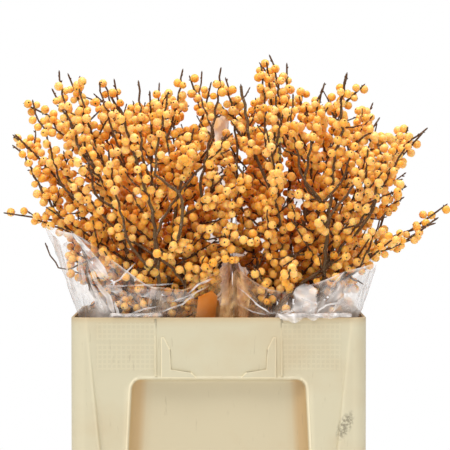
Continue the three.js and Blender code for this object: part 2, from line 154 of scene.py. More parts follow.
# Folds on the film's front, painted white as highlights: whiteness, half-width at both ends, and places
# across and up.
FILM_CREASES = {
    "left": [
        (1.0, (1.8, 3.6), [(-143, 424), (-135, 416), (-127, 406), (-119, 396), (-111, 385), (-107, 379)]),
        (0.75, (2.0, 6.5), [(-127, 398), (-120, 391), (-113, 383), (-109, 377)]),
        (0.95, (1.6, 3.4), [
            (-126, 393), (-122, 384), (-119, 374), (-114, 368), (-107, 360), (-104, 351), (-101, 343),
        ]),
        (1.1, (1.0, 1.6), [(-127, 386), (-123, 371), (-119, 362), (-115, 353), (-111, 344)]),
        (0.5, (1.0, 3.0), [(-133, 403), (-132, 390), (-130, 377), (-128, 362), (-126, 346)]),
        (0.6, (3.0, 6.0), [(-124, 372), (-119, 360), (-113, 350), (-110, 343)]),
        (0.9, (0.8, 0.8), [(-107, 372), (-96, 377), (-88, 386), (-80, 394)]),
        (0.4, (2.0, 5.0), [(-112, 370), (-101, 368), (-93, 363)]),
        (0.6, (0.7, 0.9), [(-106, 371), (-92, 371), (-73, 372), (-58, 372), (-44, 373)]),
        (0.25, (4.0, 6.0), [(-84, 367), (-66, 363), (-46, 360), (-24, 361)]),
        (0.9, (0.8, 1.2), [(-31, 362), (-20, 372), (-6, 378)]),
        (0.8, (0.8, 1.0), [(-64, 343), (-35, 353), (-22, 364)]),
        (0.7, (0.8, 0.8), [(-47, 355), (-27, 362), (-9, 371)]),
        (0.9, (0.7, 1.2), [(-57, 351), (-73, 348), (-86, 343)]),
        (0.7, (0.8, 0.8), [(-58, 346), (-70, 343), (-96, 342)]),
        (0.9, (1.0, 1.5), [(-101, 356), (-98, 347), (-97, 342)]),
    ],
    "right": [
        (1.15, (11.0, 12.5), [(86, 373), (85, 365), (84, 356), (83, 346), (82, 341)]),
        (0.7, (0.7, 0.7), [(90, 371), (84, 361), (80, 344)]),
        (0.6, (0.7, 0.7), [(75, 362), (84, 357), (96, 353)]),
        (1.2, (0.8, 1.4), [(60, 341), (71, 346), (82, 351), (92, 356)]),
        (1.0, (0.8, 1.2), [(76, 341), (84, 344), (94, 350), (98, 356)]),
        (1.2, (0.8, 1.2), [(94, 341), (97, 347), (104, 352), (116, 354), (122, 361)]),
        (0.6, (1.2, 3.0), [(100, 341), (108, 344), (115, 351), (121, 360)]),
        (0.5, (3.0, 5.0), [(107, 359), (112, 367), (116, 376)]),
        (0.6, (6.0, 9.0), [(127, 374), (128, 362), (127, 350), (126, 343)]),
        (1.0, (0.6, 0.8), [(19, 369), (29, 361), (40, 351), (53, 343)]),
        (0.9, (0.6, 0.8), [(35, 354), (43, 349), (48, 347)]),
        (0.6, (1.0, 1.5), [(47, 344), (60, 345), (71, 347)]),
        (0.7, (0.6, 0.8), [(18, 352), (34, 345), (50, 342)]),
    ],
}
# Across and painted-highlight whiteness of the folds' sheet, from edge to edge.
CREASE_PROFILE = [(-1.0, 0.1), (-0.8, 1.0), (0.0, 0.75), (0.8, 1.0), (1.0, 0.1)]
CREASE_LIFT = 0.9
OVER_RIM = [
    (-94.4, 336.0), (-95.4, 342.0), (-97.4, 343.6), (-100.2, 343.0), (-101.8, 340.6), (-102.3, 336.0),
    (-102.5, 331.0), (-102.6, 326.0),
]
UP_THE_GAP = [(-93.4, 330.0), (-95.6, 344.0), (-98.0, 358.0), (-98.5, 372.0), (-94.5, 386.0), (-89.0, 396.0)]
# Laps of film over the front rim and over the gap between the sleeves: their ends across, their path
# in depth and height, their length and how much more hangs, how white they show, partly as painted
# highlight, and how much painted reflection they carry.
FILM_LAPS = {
    "left": [
        {"from": -106.0, "to": -56.0, "path": OVER_RIM, "length": 14.0, "more": 0.5, "white": 0.45},
        {
            "from": 1.0, "to": 29.0, "path": UP_THE_GAP, "length": 30.0, "more": 26.0, "white": 0.62,
            "reflection_share": 1.0,
        },
    ],
    "right": [
        {"from": 56.0, "to": 96.0, "path": OVER_RIM, "length": 14.0, "more": 6.5, "white": 1.0},
        {"from": 90.0, "to": 128.0, "path": OVER_RIM, "length": 14.0, "more": 2.5, "white": 0.8},
    ],
}
FILM_ATTRIBUTES = ("fold", "cloud", "reflection_share")
# How many metres of the film's pattern go once round a sleeve.
SHEET_ROUND = 0.62
FILM_COLUMNS = 216
FILM_ROWS_INSIDE = 18
FILM_ROWS_ABOVE = 34

# The branches, as in the CAD: where each main stem's tip stands, and the rule of its twigs.
TIPS = {
    "left": [
        (-204, -18, 518), (-172, 46, 566), (-150, -34, 578), (-116, 86, 560), (-106, 2, 574),
        (-128, -104, 502), (-68, -60, 560), (-62, 56, 572), (-8, -14, 570), (-24, -114, 522),
    ],
    "right": [
        (22, 34, 550), (48, -28, 590), (70, 44, 592), (102, -50, 562), (130, 8, 578),
        (160, 68, 552), (206, 4, 520), (214, -46, 430), (46, -114, 522), (158, -100, 480),
    ],
}
BUNCH_MIDDLE = {"left": -64.0, "right": 74.0}
NECK_HEIGHT = 352.0
NECK_SHARE = 0.34
FOOT_SHARE = 0.72
FOOT_LIFT = 0.45
FOOT_RADIUS = 3.5
NECK_RADIUS = 2.6
TIP_RADIUS = 0.9
STEM_STEPS = 5
STEM_ZIGZAG = 1.6
STEM_BEND = 0.45
TWIGS = 5
TWIG_SHARES = (0.02, 0.86)
TWIG_LENGTHS = (120.0, 46.0)
TWIG_TILTS = (0.98, 0.6)
TWIG_RADII = (1.5, 0.8)
TWIG_VIGOUR = (0.75, 1.1)
TWIG_JITTER = 0.5
TWIG_TILT_JITTER = 0.3
TRIES = 10
GOLDEN_ANGLE = 2.39996
BRANCH_TURN = 1.7
TRY_TURN = 0.9
BERRY_RADIUS = 4.6
BERRY_OFFSET = 4.2
TWIG_BERRY_SHARES = (0.94, 0.6)
STEM_BERRY_SHARE = 0.95
CLEARANCE = 0.6
FILM_CLEARANCE = 4.0
FILM_SLANT = 1.3
SEED = 20260
WORD = 0xFFFFFFFF

# Leading shoots that show in front of the berries or stand out over them: radius at the root and
# the tip, bare share from the root, bare tip, depth at the root and the tip, and places across and up.
LEADERS = {
    "left": [
        ((2.6, 1.2), 0.55, 9, (-72, -112), [
            (-57, 338), (-59, 375), (-61, 410), (-65, 444), (-74, 474), (-83, 503), (-94, 541),
        ]),
        ((1.9, 1.0), 0.4, 12, (-106, -92), [
            (-40, 463), (-61, 479), (-61, 489), (-59, 510), (-55, 526), (-50, 555),
        ]),
        ((1.5, 1.0), 0.75, 6, (-96, -110), [
            (-62, 412), (-55, 434), (-41, 456), (-29, 473), (-8, 494), (1, 503), (7, 516),
        ]),
        ((1.7, 1.0), 0.5, 6, (-98, -110), [(-88, 415), (-93, 436), (-101, 468), (-106, 501)]),
        ((1.8, 1.0), 0.4, 6, (-84, -88), [
            (-36, 376), (-53, 394), (-91, 418), (-108, 433), (-125, 453), (-147, 474),
        ]),
        ((2.2, 0.9), 0.45, 10, (-62, -20), [
            (-112, 338), (-129, 372), (-130, 391), (-137, 409), (-153, 428), (-170, 453), (-181, 470),
            (-195, 498), (-206, 507),
        ]),
        ((0.9, 0.7), 0.3, 5, (-58, -30), [(-141, 418), (-150, 423), (-163, 427), (-179, 433), (-190, 441)]),
        ((0.9, 0.7), 0.2, 5, (-66, -70), [
            (-131, 393), (-139, 389), (-148, 385), (-157, 387), (-165, 399), (-170, 410),
        ]),
        ((1.3, 0.9), 0.2, 10, (-70, -52), [(-155, 470), (-163, 494), (-171, 522), (-182, 539), (-184, 551)]),
        ((1.4, 0.9), 0.1, 16, (-78, -50), [(-136, 503), (-141, 517), (-149, 538), (-154, 558), (-158, 580)]),
        ((1.4, 0.9), 0.4, 8, (-92, -66), [(-120, 460), (-126, 486), (-133, 517), (-132, 545), (-137, 562)]),
        ((1.3, 0.9), 0.0, 16, (-62, -48), [(-104, 520), (-110, 541), (-115, 553), (-118, 569)]),
        ((1.5, 1.0), 0.3, 18, (-86, -64), [(-75, 498), (-76, 520), (-77, 543), (-79, 570)]),
        ((1.3, 0.9), 0.1, 14, (-52, -40), [(-46, 528), (-42, 548), (-39, 560), (-36, 582)]),
        ((1.6, 0.9), 0.4, 16, (-80, -52), [
            (-18, 468), (-13, 493), (-6, 524), (-3, 543), (0, 560), (2, 583),
        ]),
        ((1.2, 0.9), 0.1, 12, (-42, -30), [(-6, 524), (-15, 546), (-19, 560), (-17, 580)]),
    ],
    "right": [
        ((2.5, 1.1), 0.5, 12, (-72, -84), [
            (98, 340), (103, 378), (106, 416), (112, 479), (114, 500), (121, 522), (119, 543),
            (125, 577),
        ]),
        ((1.5, 0.9), 0.4, 9, (-98, -86), [(112, 444), (129, 465), (140, 486), (146, 505)]),
        ((2.1, 1.0), 0.35, 10, (-80, -60), [
            (60, 352), (83, 373), (105, 387), (114, 396), (121, 408), (137, 430), (152, 448),
            (164, 472), (183, 503),
        ]),
        ((1.6, 0.9), 0.2, 20, (-72, -34), [(154, 453), (158, 482), (168, 494), (185, 508), (207, 524)]),
        ((1.8, 0.9), 0.3, 20, (-72, -52), [
            (104, 346), (123, 380), (140, 397), (152, 401), (175, 408), (192, 418), (216, 435),
        ]),
        ((1.3, 0.8), 0.2, 12, (-84, -70), [(124, 480), (130, 500), (138, 513), (149, 520), (157, 533)]),
        ((1.5, 1.0), 0.2, 10, (-58, -46), [(46, 520), (46, 548), (44, 565), (42, 586)]),
        ((1.3, 0.9), 0.1, 12, (-38, -28), [(62, 530), (60, 552), (58, 576), (51, 597)]),
        ((1.5, 1.0), 0.4, 10, (-96, -82), [(60, 490), (59, 517), (58, 531), (56, 555)]),
        ((1.6, 1.5), 1.0, 40, (-62, -52), [(30, 515), (27, 539), (22, 566)]),
        ((1.4, 0.9), 0.2, 12, (-46, -34), [(18, 512), (15, 532), (12, 550), (7, 574)]),
        ((1.5, 0.9), 0.3, 16, (-88, -62), [
            (84, 470), (88, 496), (93, 519), (98, 531), (96, 545), (104, 568),
        ]),
        ((1.4, 0.9), 0.3, 12, (-94, -70), [(80, 480), (76, 505), (71, 526), (73, 556)]),
        ((1.9, 1.1), 0.7, 6, (-74, -90), [(50, 340), (43, 351), (24, 372), (12, 396), (6, 420)]),
        ((1.2, 0.8), 0.3, 8, (-86, -80), [(140, 392), (147, 408), (158, 434), (163, 441)]),
    ],
}
LEADER_STEP = 9.0
LEADER_ZIGZAG = 0.8
# How much of a berry may stand in front of a leading shoot, as a share of its radius.
LEADER_SHOWS = 0.7

# The finer growth that fills each bunch between the CAD's twigs.
FINE_REACH = 92.0
# Two passes: through the crown, and low down where the stems come out of the bucket. Each has its
# heights, number of places tried, widest gap, least turn along the wood and margin over the hull.
FINE_PASSES = [
    {"z": (344.0, 600.0), "tries": 2600, "gap": 1.0, "turn": 0.2, "reach": 20.0, "margin": -1.0},
    {"z": (344.0, 402.0), "tries": 1100, "gap": 0.78, "turn": -0.2, "reach": 12.0, "margin": 4.0},
]
# Where on the lower stems twigs may leave, as shares of the way from the cut end to the neck.
LOW_TWIGS = (0.5, 1.0)
FINE_RADII = (1.15, 0.62)
FINE_CLEARANCE = 3.0
ROOT_TRIES = 12
# The fine growth stays this far under the main stems' tips, which stand out over it.
CROWN_DROP = 15.0
# A tip that hangs low stands out alone, and the growth stays further in behind it.
LOW_TIP = 460.0
LOW_TIP_PULL = 0.8
# Where the two bunches lean into each other, over the film between them: across, deep and up.
CROWN_MEETS = [(9, -98, 425), (9, -102, 500), (9, -50, 556), (9, 60, 545), (9, 70, 415), (9, -60, 405)]
WOOD_STEP = 6.0
WOOD_ZIGZAG = 0.7
BARE_TIP = (7.0, 22.0)
# How much deeper the berries are painted in the middle of a bunch than on its outside, as painted shade.
INSIDE_SHADE = 1.1
# A berry's size as a share of the usual one, how far it stands off the wood, how far it leans along
# it, and how near two berries may come as a share of touching.
BERRY_SIZES = (0.77, 1.03)
BERRY_STAND = (0.2, 1.6)
BERRY_LEAN = (-0.1, 0.75)
BERRY_CROWDING = 0.93
# The share of nodes that bear one berry, and that bear one or two; the others bear three.
ONE_BERRY = 0.22
TWO_BERRIES = 0.66
NODE_JITTER = (0.8, 1.25)
BUD_SIZES = (0.7, 1.1)
# The width of a cell in which berries look for their neighbours.
CELL = 10.0

# The stage: a long lens far off, as in the photograph, and three soft lamps with their places in
# metres, widths and powers in watts.
LENS = 181.5
SENSOR = 36.0
CAMERA_ACROSS = 0.0062
CAMERA_TILT = 1.46
LAMP_AIM = Vector((0, 0, 0.42))
LAMPS = [
    ("key_window", (-0.9, -1.3, 2.6), 1.1, 44.0),
    ("front_fill", (1.3, -2.4, 1.2), 0.9, 9.5),
    ("top_panel", (0.3, 0.1, 2.4), 1.0, 33.0),
]


class BucketSettings(bpy.types.PropertyGroup):
    """Colours and fine sizes of the flower bucket."""

    body: bpy.props.StringProperty(
        name="Body", description="Moulded colour of the bucket, as sRGB hex", default="#CBC2A5"
    )
    # The paler colour is a painted highlight on the bay's lip, the rails, ridges, seams, corners and grip
    # bars.
    rim: bpy.props.StringProperty(
        name="Pale_highlight", description="Paler colour of rubbed lips and ribs, as sRGB hex", default="#EBDFBF"
    )
    # This colour paints the shade in the bay and under the rim, the browner inside walls and the soiling.
    shade_and_grime: bpy.props.StringProperty(
        name="Shade_and_grime", description="Colour of the dirt in the bay's corners, as sRGB hex", default="#B9945F"
    )
    grip_pitch: bpy.props.FloatProperty(
        name="Grip pitch", description="Distance between grip bars", default=0.0046, unit="LENGTH"
    )
    grip_width: bpy.props.FloatProperty(
        name="Grip width", description="Width of one grip bar", default=0.0015, unit="LENGTH"
    )
    grip_proud: bpy.props.FloatProperty(
        name="Grip height", description="How far the grip bars stand out", default=0.0003, unit="LENGTH"
    )


class BunchSettings(bpy.types.PropertyGroup):
    """Colours and density of the berries and the wood."""

    berry_light: bpy.props.StringProperty(
        name="Ripe gold", description="Palest berry skin, as sRGB hex", default="#FFC86E"
    )
    berry_deep: bpy.props.StringProperty(
        name="Deep gold", description="Deepest berry skin, as sRGB hex", default="#F5AA20"
    )
    # The deepest colour mostly paints shade on the berries deep inside a bunch.
    berry_ripest_and_shaded: bpy.props.StringProperty(
        name="Ripest_and_shaded berry", description="Berries deep inside a bunch, as sRGB hex", default="#DC7202"
    )
    calyx: bpy.props.StringProperty(
        name="Calyx", description="Dried flower end of a berry, as sRGB hex", default="#4B2F1C"
    )
    twig: bpy.props.StringProperty(
        name="Young twig", description="Bark of the thin twigs, as sRGB hex", default="#5C3C22"
    )
    stem: bpy.props.StringProperty(
        name="Old stem", description="Bark of the thick stems, as sRGB hex", default="#7C6849"
    )
    spread: bpy.props.FloatProperty(
        name="Twig spacing", description="Widest gap left between twigs", default=0.0155, unit="LENGTH"
    )
    node_spacing: bpy.props.FloatProperty(
        name="Node spacing", description="Distance between berry nodes", default=0.0098, unit="LENGTH"
    )


class FilmSettings(bpy.types.PropertyGroup):
    """Finish of the clear film sleeves."""

    tint: bpy.props.StringProperty(
        name="Film", description="Colour of the film's haze, as sRGB hex", default="#F6F1EE"
    )
    # A painted reflection of the berries and the wood, on the film between the bunches and near the middle.
    painted_reflection: bpy.props.StringProperty(
        name="Mirrored tan", description="Film between the bunches, as sRGB hex", default="#FFCC8A"
    )
    haze: bpy.props.FloatProperty(
        name="Haze", description="How much of the film shows face on", default=0.03, min=0, max=1,
        subtype="FACTOR",
    )
    crease: bpy.props.FloatProperty(
        name="Crease depth", description="Depth of the film's folds", default=0.003, unit="LENGTH"
    )


class StageSettings(bpy.types.PropertyGroup):
    """Floor, lights and camera."""

    room_light: bpy.props.FloatProperty(
        name="Room light", description="Strength of the white room as a light", default=0.54, min=0, max=2
    )
    floor: bpy.props.StringProperty(name="Floor", description="Floor colour, as sRGB hex", default="#F4F3F1")
    distance: bpy.props.FloatProperty(
        name="Camera distance", description="From the bucket's front", default=2.2, unit="LENGTH"
    )
    height: bpy.props.FloatProperty(
        name="Camera height", description="Above the floor", default=0.486, unit="LENGTH"
    )


# Small tools


def linear(colour, alpha=1.0):
    """An sRGB hex colour as linear red, green, blue and alpha."""
    parts = [int(colour[i : i + 2], 16) / 255 for i in (1, 3, 5)]
    return [p / 12.92 if p <= 0.04045 else ((p + 0.055) / 1.055) ** 2.4 for p in parts] + [alpha]


def between(low, high, share):
    return low + (high - low) * share


def nearness(value, width):
    """1 at no distance, and fading to nothing within a few widths."""
    return math.exp(-((value / width) ** 2))


def bowed(start, control, end, t):
    """A point of the bow from start to end that is pulled towards its control point."""
    return start * (1 - t) ** 2 + control * (2 * t * (1 - t)) + end * t**2


def eased(start, end, pull, push, t):
    """A point of the curve that leaves its start along pull and reaches its end along push."""
    point = start * (2 * t**3 - 3 * t**2 + 1) + pull * (t**3 - 2 * t**2 + t)
    return point + end * (3 * t**2 - 2 * t**3) + push * (t**3 - t**2)


def clamp(value, low, high):
    return min(high, max(low, value))


def smooth_step(value):
    share = clamp(value, 0.0, 1.0)
    return share * share * (3 - 2 * share)


def chance(*keys):
    """A number from 0 to 1 that depends only on its keys, as in the CAD."""
    mixed = SEED
    for key in keys:
        mixed = ((mixed ^ (key + 1)) * 0x9E3779B1) & WORD
        mixed ^= mixed >> 15
        mixed = (mixed * 0x85EBCA6B) & WORD
        mixed ^= mixed >> 13
    return mixed / 4294967296


def plug(node, inputs):
    """Give inputs their values, or link them to outputs.

    A hex colour is made linear, and a node stands for the first of its outputs in use.
    """
    for key, value in inputs.items():
        if isinstance(value, str) and value.startswith("#"):
            value = linear(value)
        elif isinstance(value, bpy.types.Node):
            value = next(output for output in value.outputs if output.enabled)
        if isinstance(value, bpy.types.NodeSocket):
            node.id_data.links.new(value, node.inputs[key])
        else:
            node.inputs[key].default_value = value


def add_node(tree, kind, inputs=None, **settings):
    """A node with its own settings and its inputs."""
    node = tree.nodes.new(kind)
    for name, value in settings.items():
        setattr(node, name, value)
    plug(node, inputs or {})
    return node


def new_object(name, mesh):
    made = bpy.data.objects.new(name, mesh)
    bpy.context.scene.collection.objects.link(made)
    return made


def object_of(name, bm, material=None, sharp_angle=None, scale=MILLIMETRE):
    """An object from a bmesh in millimetres, smooth but for edges over an angle in degrees."""
    bmesh.ops.scale(bm, vec=(scale,) * 3, verts=bm.verts)
    for face in bm.faces:
        face.smooth = sharp_angle is not None
    if sharp_angle is not None:
        for edge in bm.edges:
            edge.smooth = edge.calc_face_angle(0.0) < math.radians(sharp_angle)
    mesh = bpy.data.meshes.new(name)
    bm.to_mesh(mesh)
    bm.free()
    if material:
        mesh.materials.append(material)
    return new_object(name, mesh)


def new_tree(name, inputs, output):
    """A Geometry Nodes tree with its named inputs and its one output."""
    tree = bpy.data.node_groups.new(name, "GeometryNodeTree")
    for socket, kind in inputs.items():
        tree.interface.new_socket(socket, in_out="INPUT", socket_type=f"NodeSocket{kind}")
    tree.interface.new_socket(output, in_out="OUTPUT", socket_type="NodeSocketGeometry")
    return tree


def made_by_nodes(name, mesh, tree, inputs):
    """A piece that a Geometry Nodes tree makes from a mesh, as a plain mesh without its modifier."""
    piece = new_object(name, mesh)
    modifier = piece.modifiers.new(tree.name, "NODES")
    modifier.node_group = tree
    for item in tree.interface.items_tree:
        if item.item_type == "SOCKET" and item.name in inputs:
            modifier[item.identifier] = inputs[item.name]
    graph = bpy.context.evaluated_depsgraph_get()
    mesh = bpy.data.meshes.new_from_object(piece.evaluated_get(graph), depsgraph=graph)
    piece.modifiers.clear()
    piece.data = mesh
    mesh.name = name
    return piece


def hold(piece, slot, *nodes):
    """A piece of the standing object: it rides on the one body, and its slot is not used."""
    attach(piece, "root")
    if nodes:
        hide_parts(*nodes)


# Materials


def new_material(name):
    """A material, its main shader, add_node for its tree, and the Object coordinates in metres."""
    material = bpy.data.materials.new(name)
    material.use_nodes = True
    tree = material.node_tree
    shader = next(node for node in tree.nodes if node.type == "BSDF_PRINCIPLED")
    add = partial(add_node, tree)
    return material, shader, add, add("ShaderNodeTexCoord").outputs["Object"]


def flecked(add, place, under, scale, detail, shows, colour):
    """Flecks of a colour over another, where noise lies in a span; shows is that span and the strength."""
    grain = add("ShaderNodeTexNoise", {"Vector": place, "Scale": scale, "Detail": detail})
    low, high, top = shows
    share = add("ShaderNodeMapRange", {0: grain, 1: low, 2: high, 4: top})
    return add("ShaderNodeMix", {0: share, 6: under, 7: colour}, data_type="RGBA")


def polypropylene(settings):
    """Moulded polypropylene: a cream, slightly waxy skin, less glossy where it is scuffed and dirty, with
    painted shade and highlights.
    """
    material, shader, add, place = new_material("moulded_polypropylene")
    shade_and_grime, rubbed = (
        add("ShaderNodeAttribute", attribute_name=name).outputs["Fac"] for name in ("shade_and_grime", "rubbed")
    )
    # Cloudy soiling 60 mm wide, from hands and wet leaves.
    cloud = add("ShaderNodeTexNoise", {"Vector": place, "Scale": 16.0, "Detail": 4.0})
    # Rub marks 1 to 3 mm wide and 15 mm long, drawn upright.
    stretch = add("ShaderNodeMapping", {"Vector": place, "Scale": (1.0, 1.0, 0.16)})
    soil = add("ShaderNodeMapRange", {0: cloud, 1: 0.45, 2: 0.75, 4: 0.3})
    # Painted shade in the bay and under the rim, the browner inside walls and the cloudy soiling, all in one
    # colour.
    soil_and_shade = add("ShaderNodeMath", {0: shade_and_grime, 1: soil}, operation="MAXIMUM")
    # Painted highlight: the paler colour on the bay's lip, the raised edges, seams, corners and grip bars.
    body = add("ShaderNodeMix", {0: rubbed, 6: settings.body, 7: settings.rim}, data_type="RGBA")
    soiled_and_shaded = add("ShaderNodeMix", {0: soil_and_shade, 6: body, 7: settings.shade_and_grime}, data_type="RGBA")
    marked = flecked(add, stretch, soiled_and_shaded, 300.0, 3.0, (0.66, 0.74, 0.28), "#9C8A6A")
    # The scuff: grey scratches 1 to 2 mm wide, thinning out at its edges.
    scuff_middle = add("ShaderNodeVectorMath", {0: place, 1: SCUFF_PLACE}, operation="SUBTRACT")
    leaning = add(
        "ShaderNodeVectorRotate", {"Vector": scuff_middle, "Angle": SCUFF_LEAN}, rotation_type="Y_AXIS"
    )
    reach = add("ShaderNodeVectorMath", {0: leaning, 1: SCUFF_HALF_SIZE}, operation="DIVIDE")
    far = add("ShaderNodeVectorMath", {0: reach}, operation="LENGTH")
    near = add("ShaderNodeMapRange", {0: far, 1: 0.6, 2: 1.1, 3: 1.0, 4: 0.0})
    scratch = add("ShaderNodeTexNoise", {"Vector": place, "Scale": 330.0, "Detail": 3.0})
    scratched = add("ShaderNodeMapRange", {0: scratch, 1: 0.4, 2: 0.56, 4: 0.78})
    scuff = add("ShaderNodeMath", {0: near, 1: scratched}, operation="MULTIPLY")
    scuffed = add("ShaderNodeMix", {0: scuff, 6: marked, 7: "#7C735F"}, data_type="RGBA")
    gloss = add("ShaderNodeMapRange", {0: cloud, 3: 0.34, 4: 0.56})
    # Orange-peel of the mould, 1.4 mm across, drawn coarser than the real 0.5 mm so that it shows.
    peel = add("ShaderNodeTexNoise", {"Vector": place, "Scale": 700.0, "Detail": 1.0})
    bump = add("ShaderNodeBump", {"Strength": 0.06, "Distance": 0.001, "Height": peel})
    plug(shader, {"Base Color": scuffed, "Roughness": gloss, "Normal": bump, "IOR": 1.49})
    return material


def standing_water():
    """Still water that has taken a little tan from the cut stems."""
    material, shader, add, place = new_material("standing_water")
    # Dust and bark flakes afloat, 3 mm across.
    colour = flecked(add, place, "#CFC6A4", 330.0, 2.0, (0.66, 0.7, 1.0), "#5B4A35")
    ripple = add("ShaderNodeTexNoise", {"Vector": place, "Scale": 40.0})
    bump = add("ShaderNodeBump", {"Strength": 0.1, "Distance": 0.002, "Height": ripple})
    plug(shader, {"Base Color": colour, "Normal": bump, "Roughness": 0.04})
    plug(shader, {"IOR": 1.333, "Transmission Weight": 0.6})
    return material


def coloured_board():
    """Uncoated coloured card: matt orange in two near tones, with a faint paler fibre."""
    material, shader, add, place = new_material("uncoated_orange_card")
    fibre = add("ShaderNodeTexNoise", {"Vector": place, "Scale": 900.0, "Detail": 3.0})
    fade = add("ShaderNodeTexNoise", {"Vector": place, "Scale": 45.0, "Detail": 2.0})
    base = add("ShaderNodeMix", {0: fade, 6: "#D27200", 7: "#E07E04"}, data_type="RGBA")
    speck = add("ShaderNodeMapRange", {0: fibre, 1: 0.4, 2: 0.8, 4: 0.12})
    colour = add("ShaderNodeMix", {0: speck, 6: base, 7: "#E0943C"}, data_type="RGBA")
    bump = add("ShaderNodeBump", {"Strength": 0.2, "Distance": 0.0003, "Height": fibre})
    plug(shader, {"Base Color": colour, "Normal": bump, "Roughness": 0.8})
    return material


def berry_skin(settings):
    """Drupe skin: smooth and waxy, each berry ripened to its own colour, painted deeper as shade inside a
    bunch.
    """
    material, shader, add, place = new_material("winterberry_skin")
    tone_and_shade = add("ShaderNodeAttribute", attribute_name="tone_and_shade").outputs["Fac"]
    # Blush about 5 mm across, so a berry isn't one flat colour.
    blush = add("ShaderNodeTexNoise", {"Vector": place, "Scale": 200.0, "Detail": 2.0})
    spread = add("ShaderNodeMapRange", {0: blush, 1: 0.3, 2: 0.7, 3: -0.18, 4: 0.18})
    ripe_and_shaded = add("ShaderNodeMath", {0: tone_and_shade, 1: spread}, operation="ADD")
    # The deepest colour goes mostly to the berries deep inside a bunch, as painted shade.
    ripest_and_shaded = add("ShaderNodeMapRange", {0: ripe_and_shaded, 1: 0.8, 2: 1.7})
    pair = {0: ripe_and_shaded, 6: settings.berry_light, 7: settings.berry_deep}
    first = add("ShaderNodeMix", pair, data_type="RGBA")
    skin = add("ShaderNodeMix", {0: ripest_and_shaded, 6: first, 7: settings.berry_ripest_and_shaded}, data_type="RGBA")
    # Corky specks under 1 mm, drawn at 1 mm so that they show.
    colour = flecked(add, place, skin, 1000.0, 1.0, (0.7, 0.76, 0.5), "#B06A22")
    gloss = add("ShaderNodeMapRange", {0: blush, 3: 0.34, 4: 0.5})
    plug(shader, {"Base Color": colour, "Roughness": gloss, "IOR": 1.42, "Specular IOR Level": 0.65})
    # Light goes a little way into the flesh, so the shaded side glows orange instead of going brown.
    flesh = (1.0, 0.35, 0.06)
    plug(shader, {"Subsurface Weight": 0.5, "Subsurface Radius": flesh, "Subsurface Scale": 0.004})
    # A faint waxy bloom pales the berry's edges.
    plug(shader, {"Sheen Weight": 0.25, "Sheen Roughness": 0.45})
    return material


def dried_calyx(settings):
    """Dried calyx and stalk: matt dark brown, with a trace of lighter fibre."""
    material, shader, add, place = new_material("dried_calyx")
    fibre = add("ShaderNodeTexNoise", {"Vector": place, "Scale": 900.0, "Detail": 2.0})
    colour = add("ShaderNodeMix", {0: fibre, 6: settings.calyx, 7: "#5F4228"}, data_type="RGBA")
    plug(shader, {"Base Color": colour, "Roughness": 0.85})
    return material


def winter_bark(settings):
    """Winter bark: dark brown young twigs, greyer stems, with pale lenticels along them."""
    material, shader, add, place = new_material("winter_bark")
    thick = add("ShaderNodeAttribute", attribute_name="thick").outputs["Fac"]
    age = add("ShaderNodeMapRange", {0: thick, 1: 0.0010, 2: 0.0028})
    bark = add("ShaderNodeMix", {0: age, 6: settings.twig, 7: settings.stem}, data_type="RGBA")
    stretch = add("ShaderNodeMapping", {"Vector": place, "Scale": (1.0, 1.0, 0.25)})
    streak = add("ShaderNodeTexNoise", {"Vector": stretch, "Scale": 420.0, "Detail": 3.0})
    darker = add("ShaderNodeMapRange", {0: streak, 1: 0.35, 2: 0.65, 3: 0.5})
    streaked = add("ShaderNodeMix", {0: darker, 6: "#3E2514", 7: bark}, data_type="RGBA")
    # Lenticels are 0.6 mm; they are drawn 1.2 mm wide so that they show.
    colour = flecked(add, place, streaked, 850.0, 0.0, (0.68, 0.73, 0.7), "#A2937C")
    bump = add("ShaderNodeBump", {"Strength": 0.5, "Distance": 0.0004, "Height": streak})
    plug(shader, {"Base Color": colour, "Normal": bump, "Roughness": 0.75, "Specular IOR Level": 0.2})
    return material


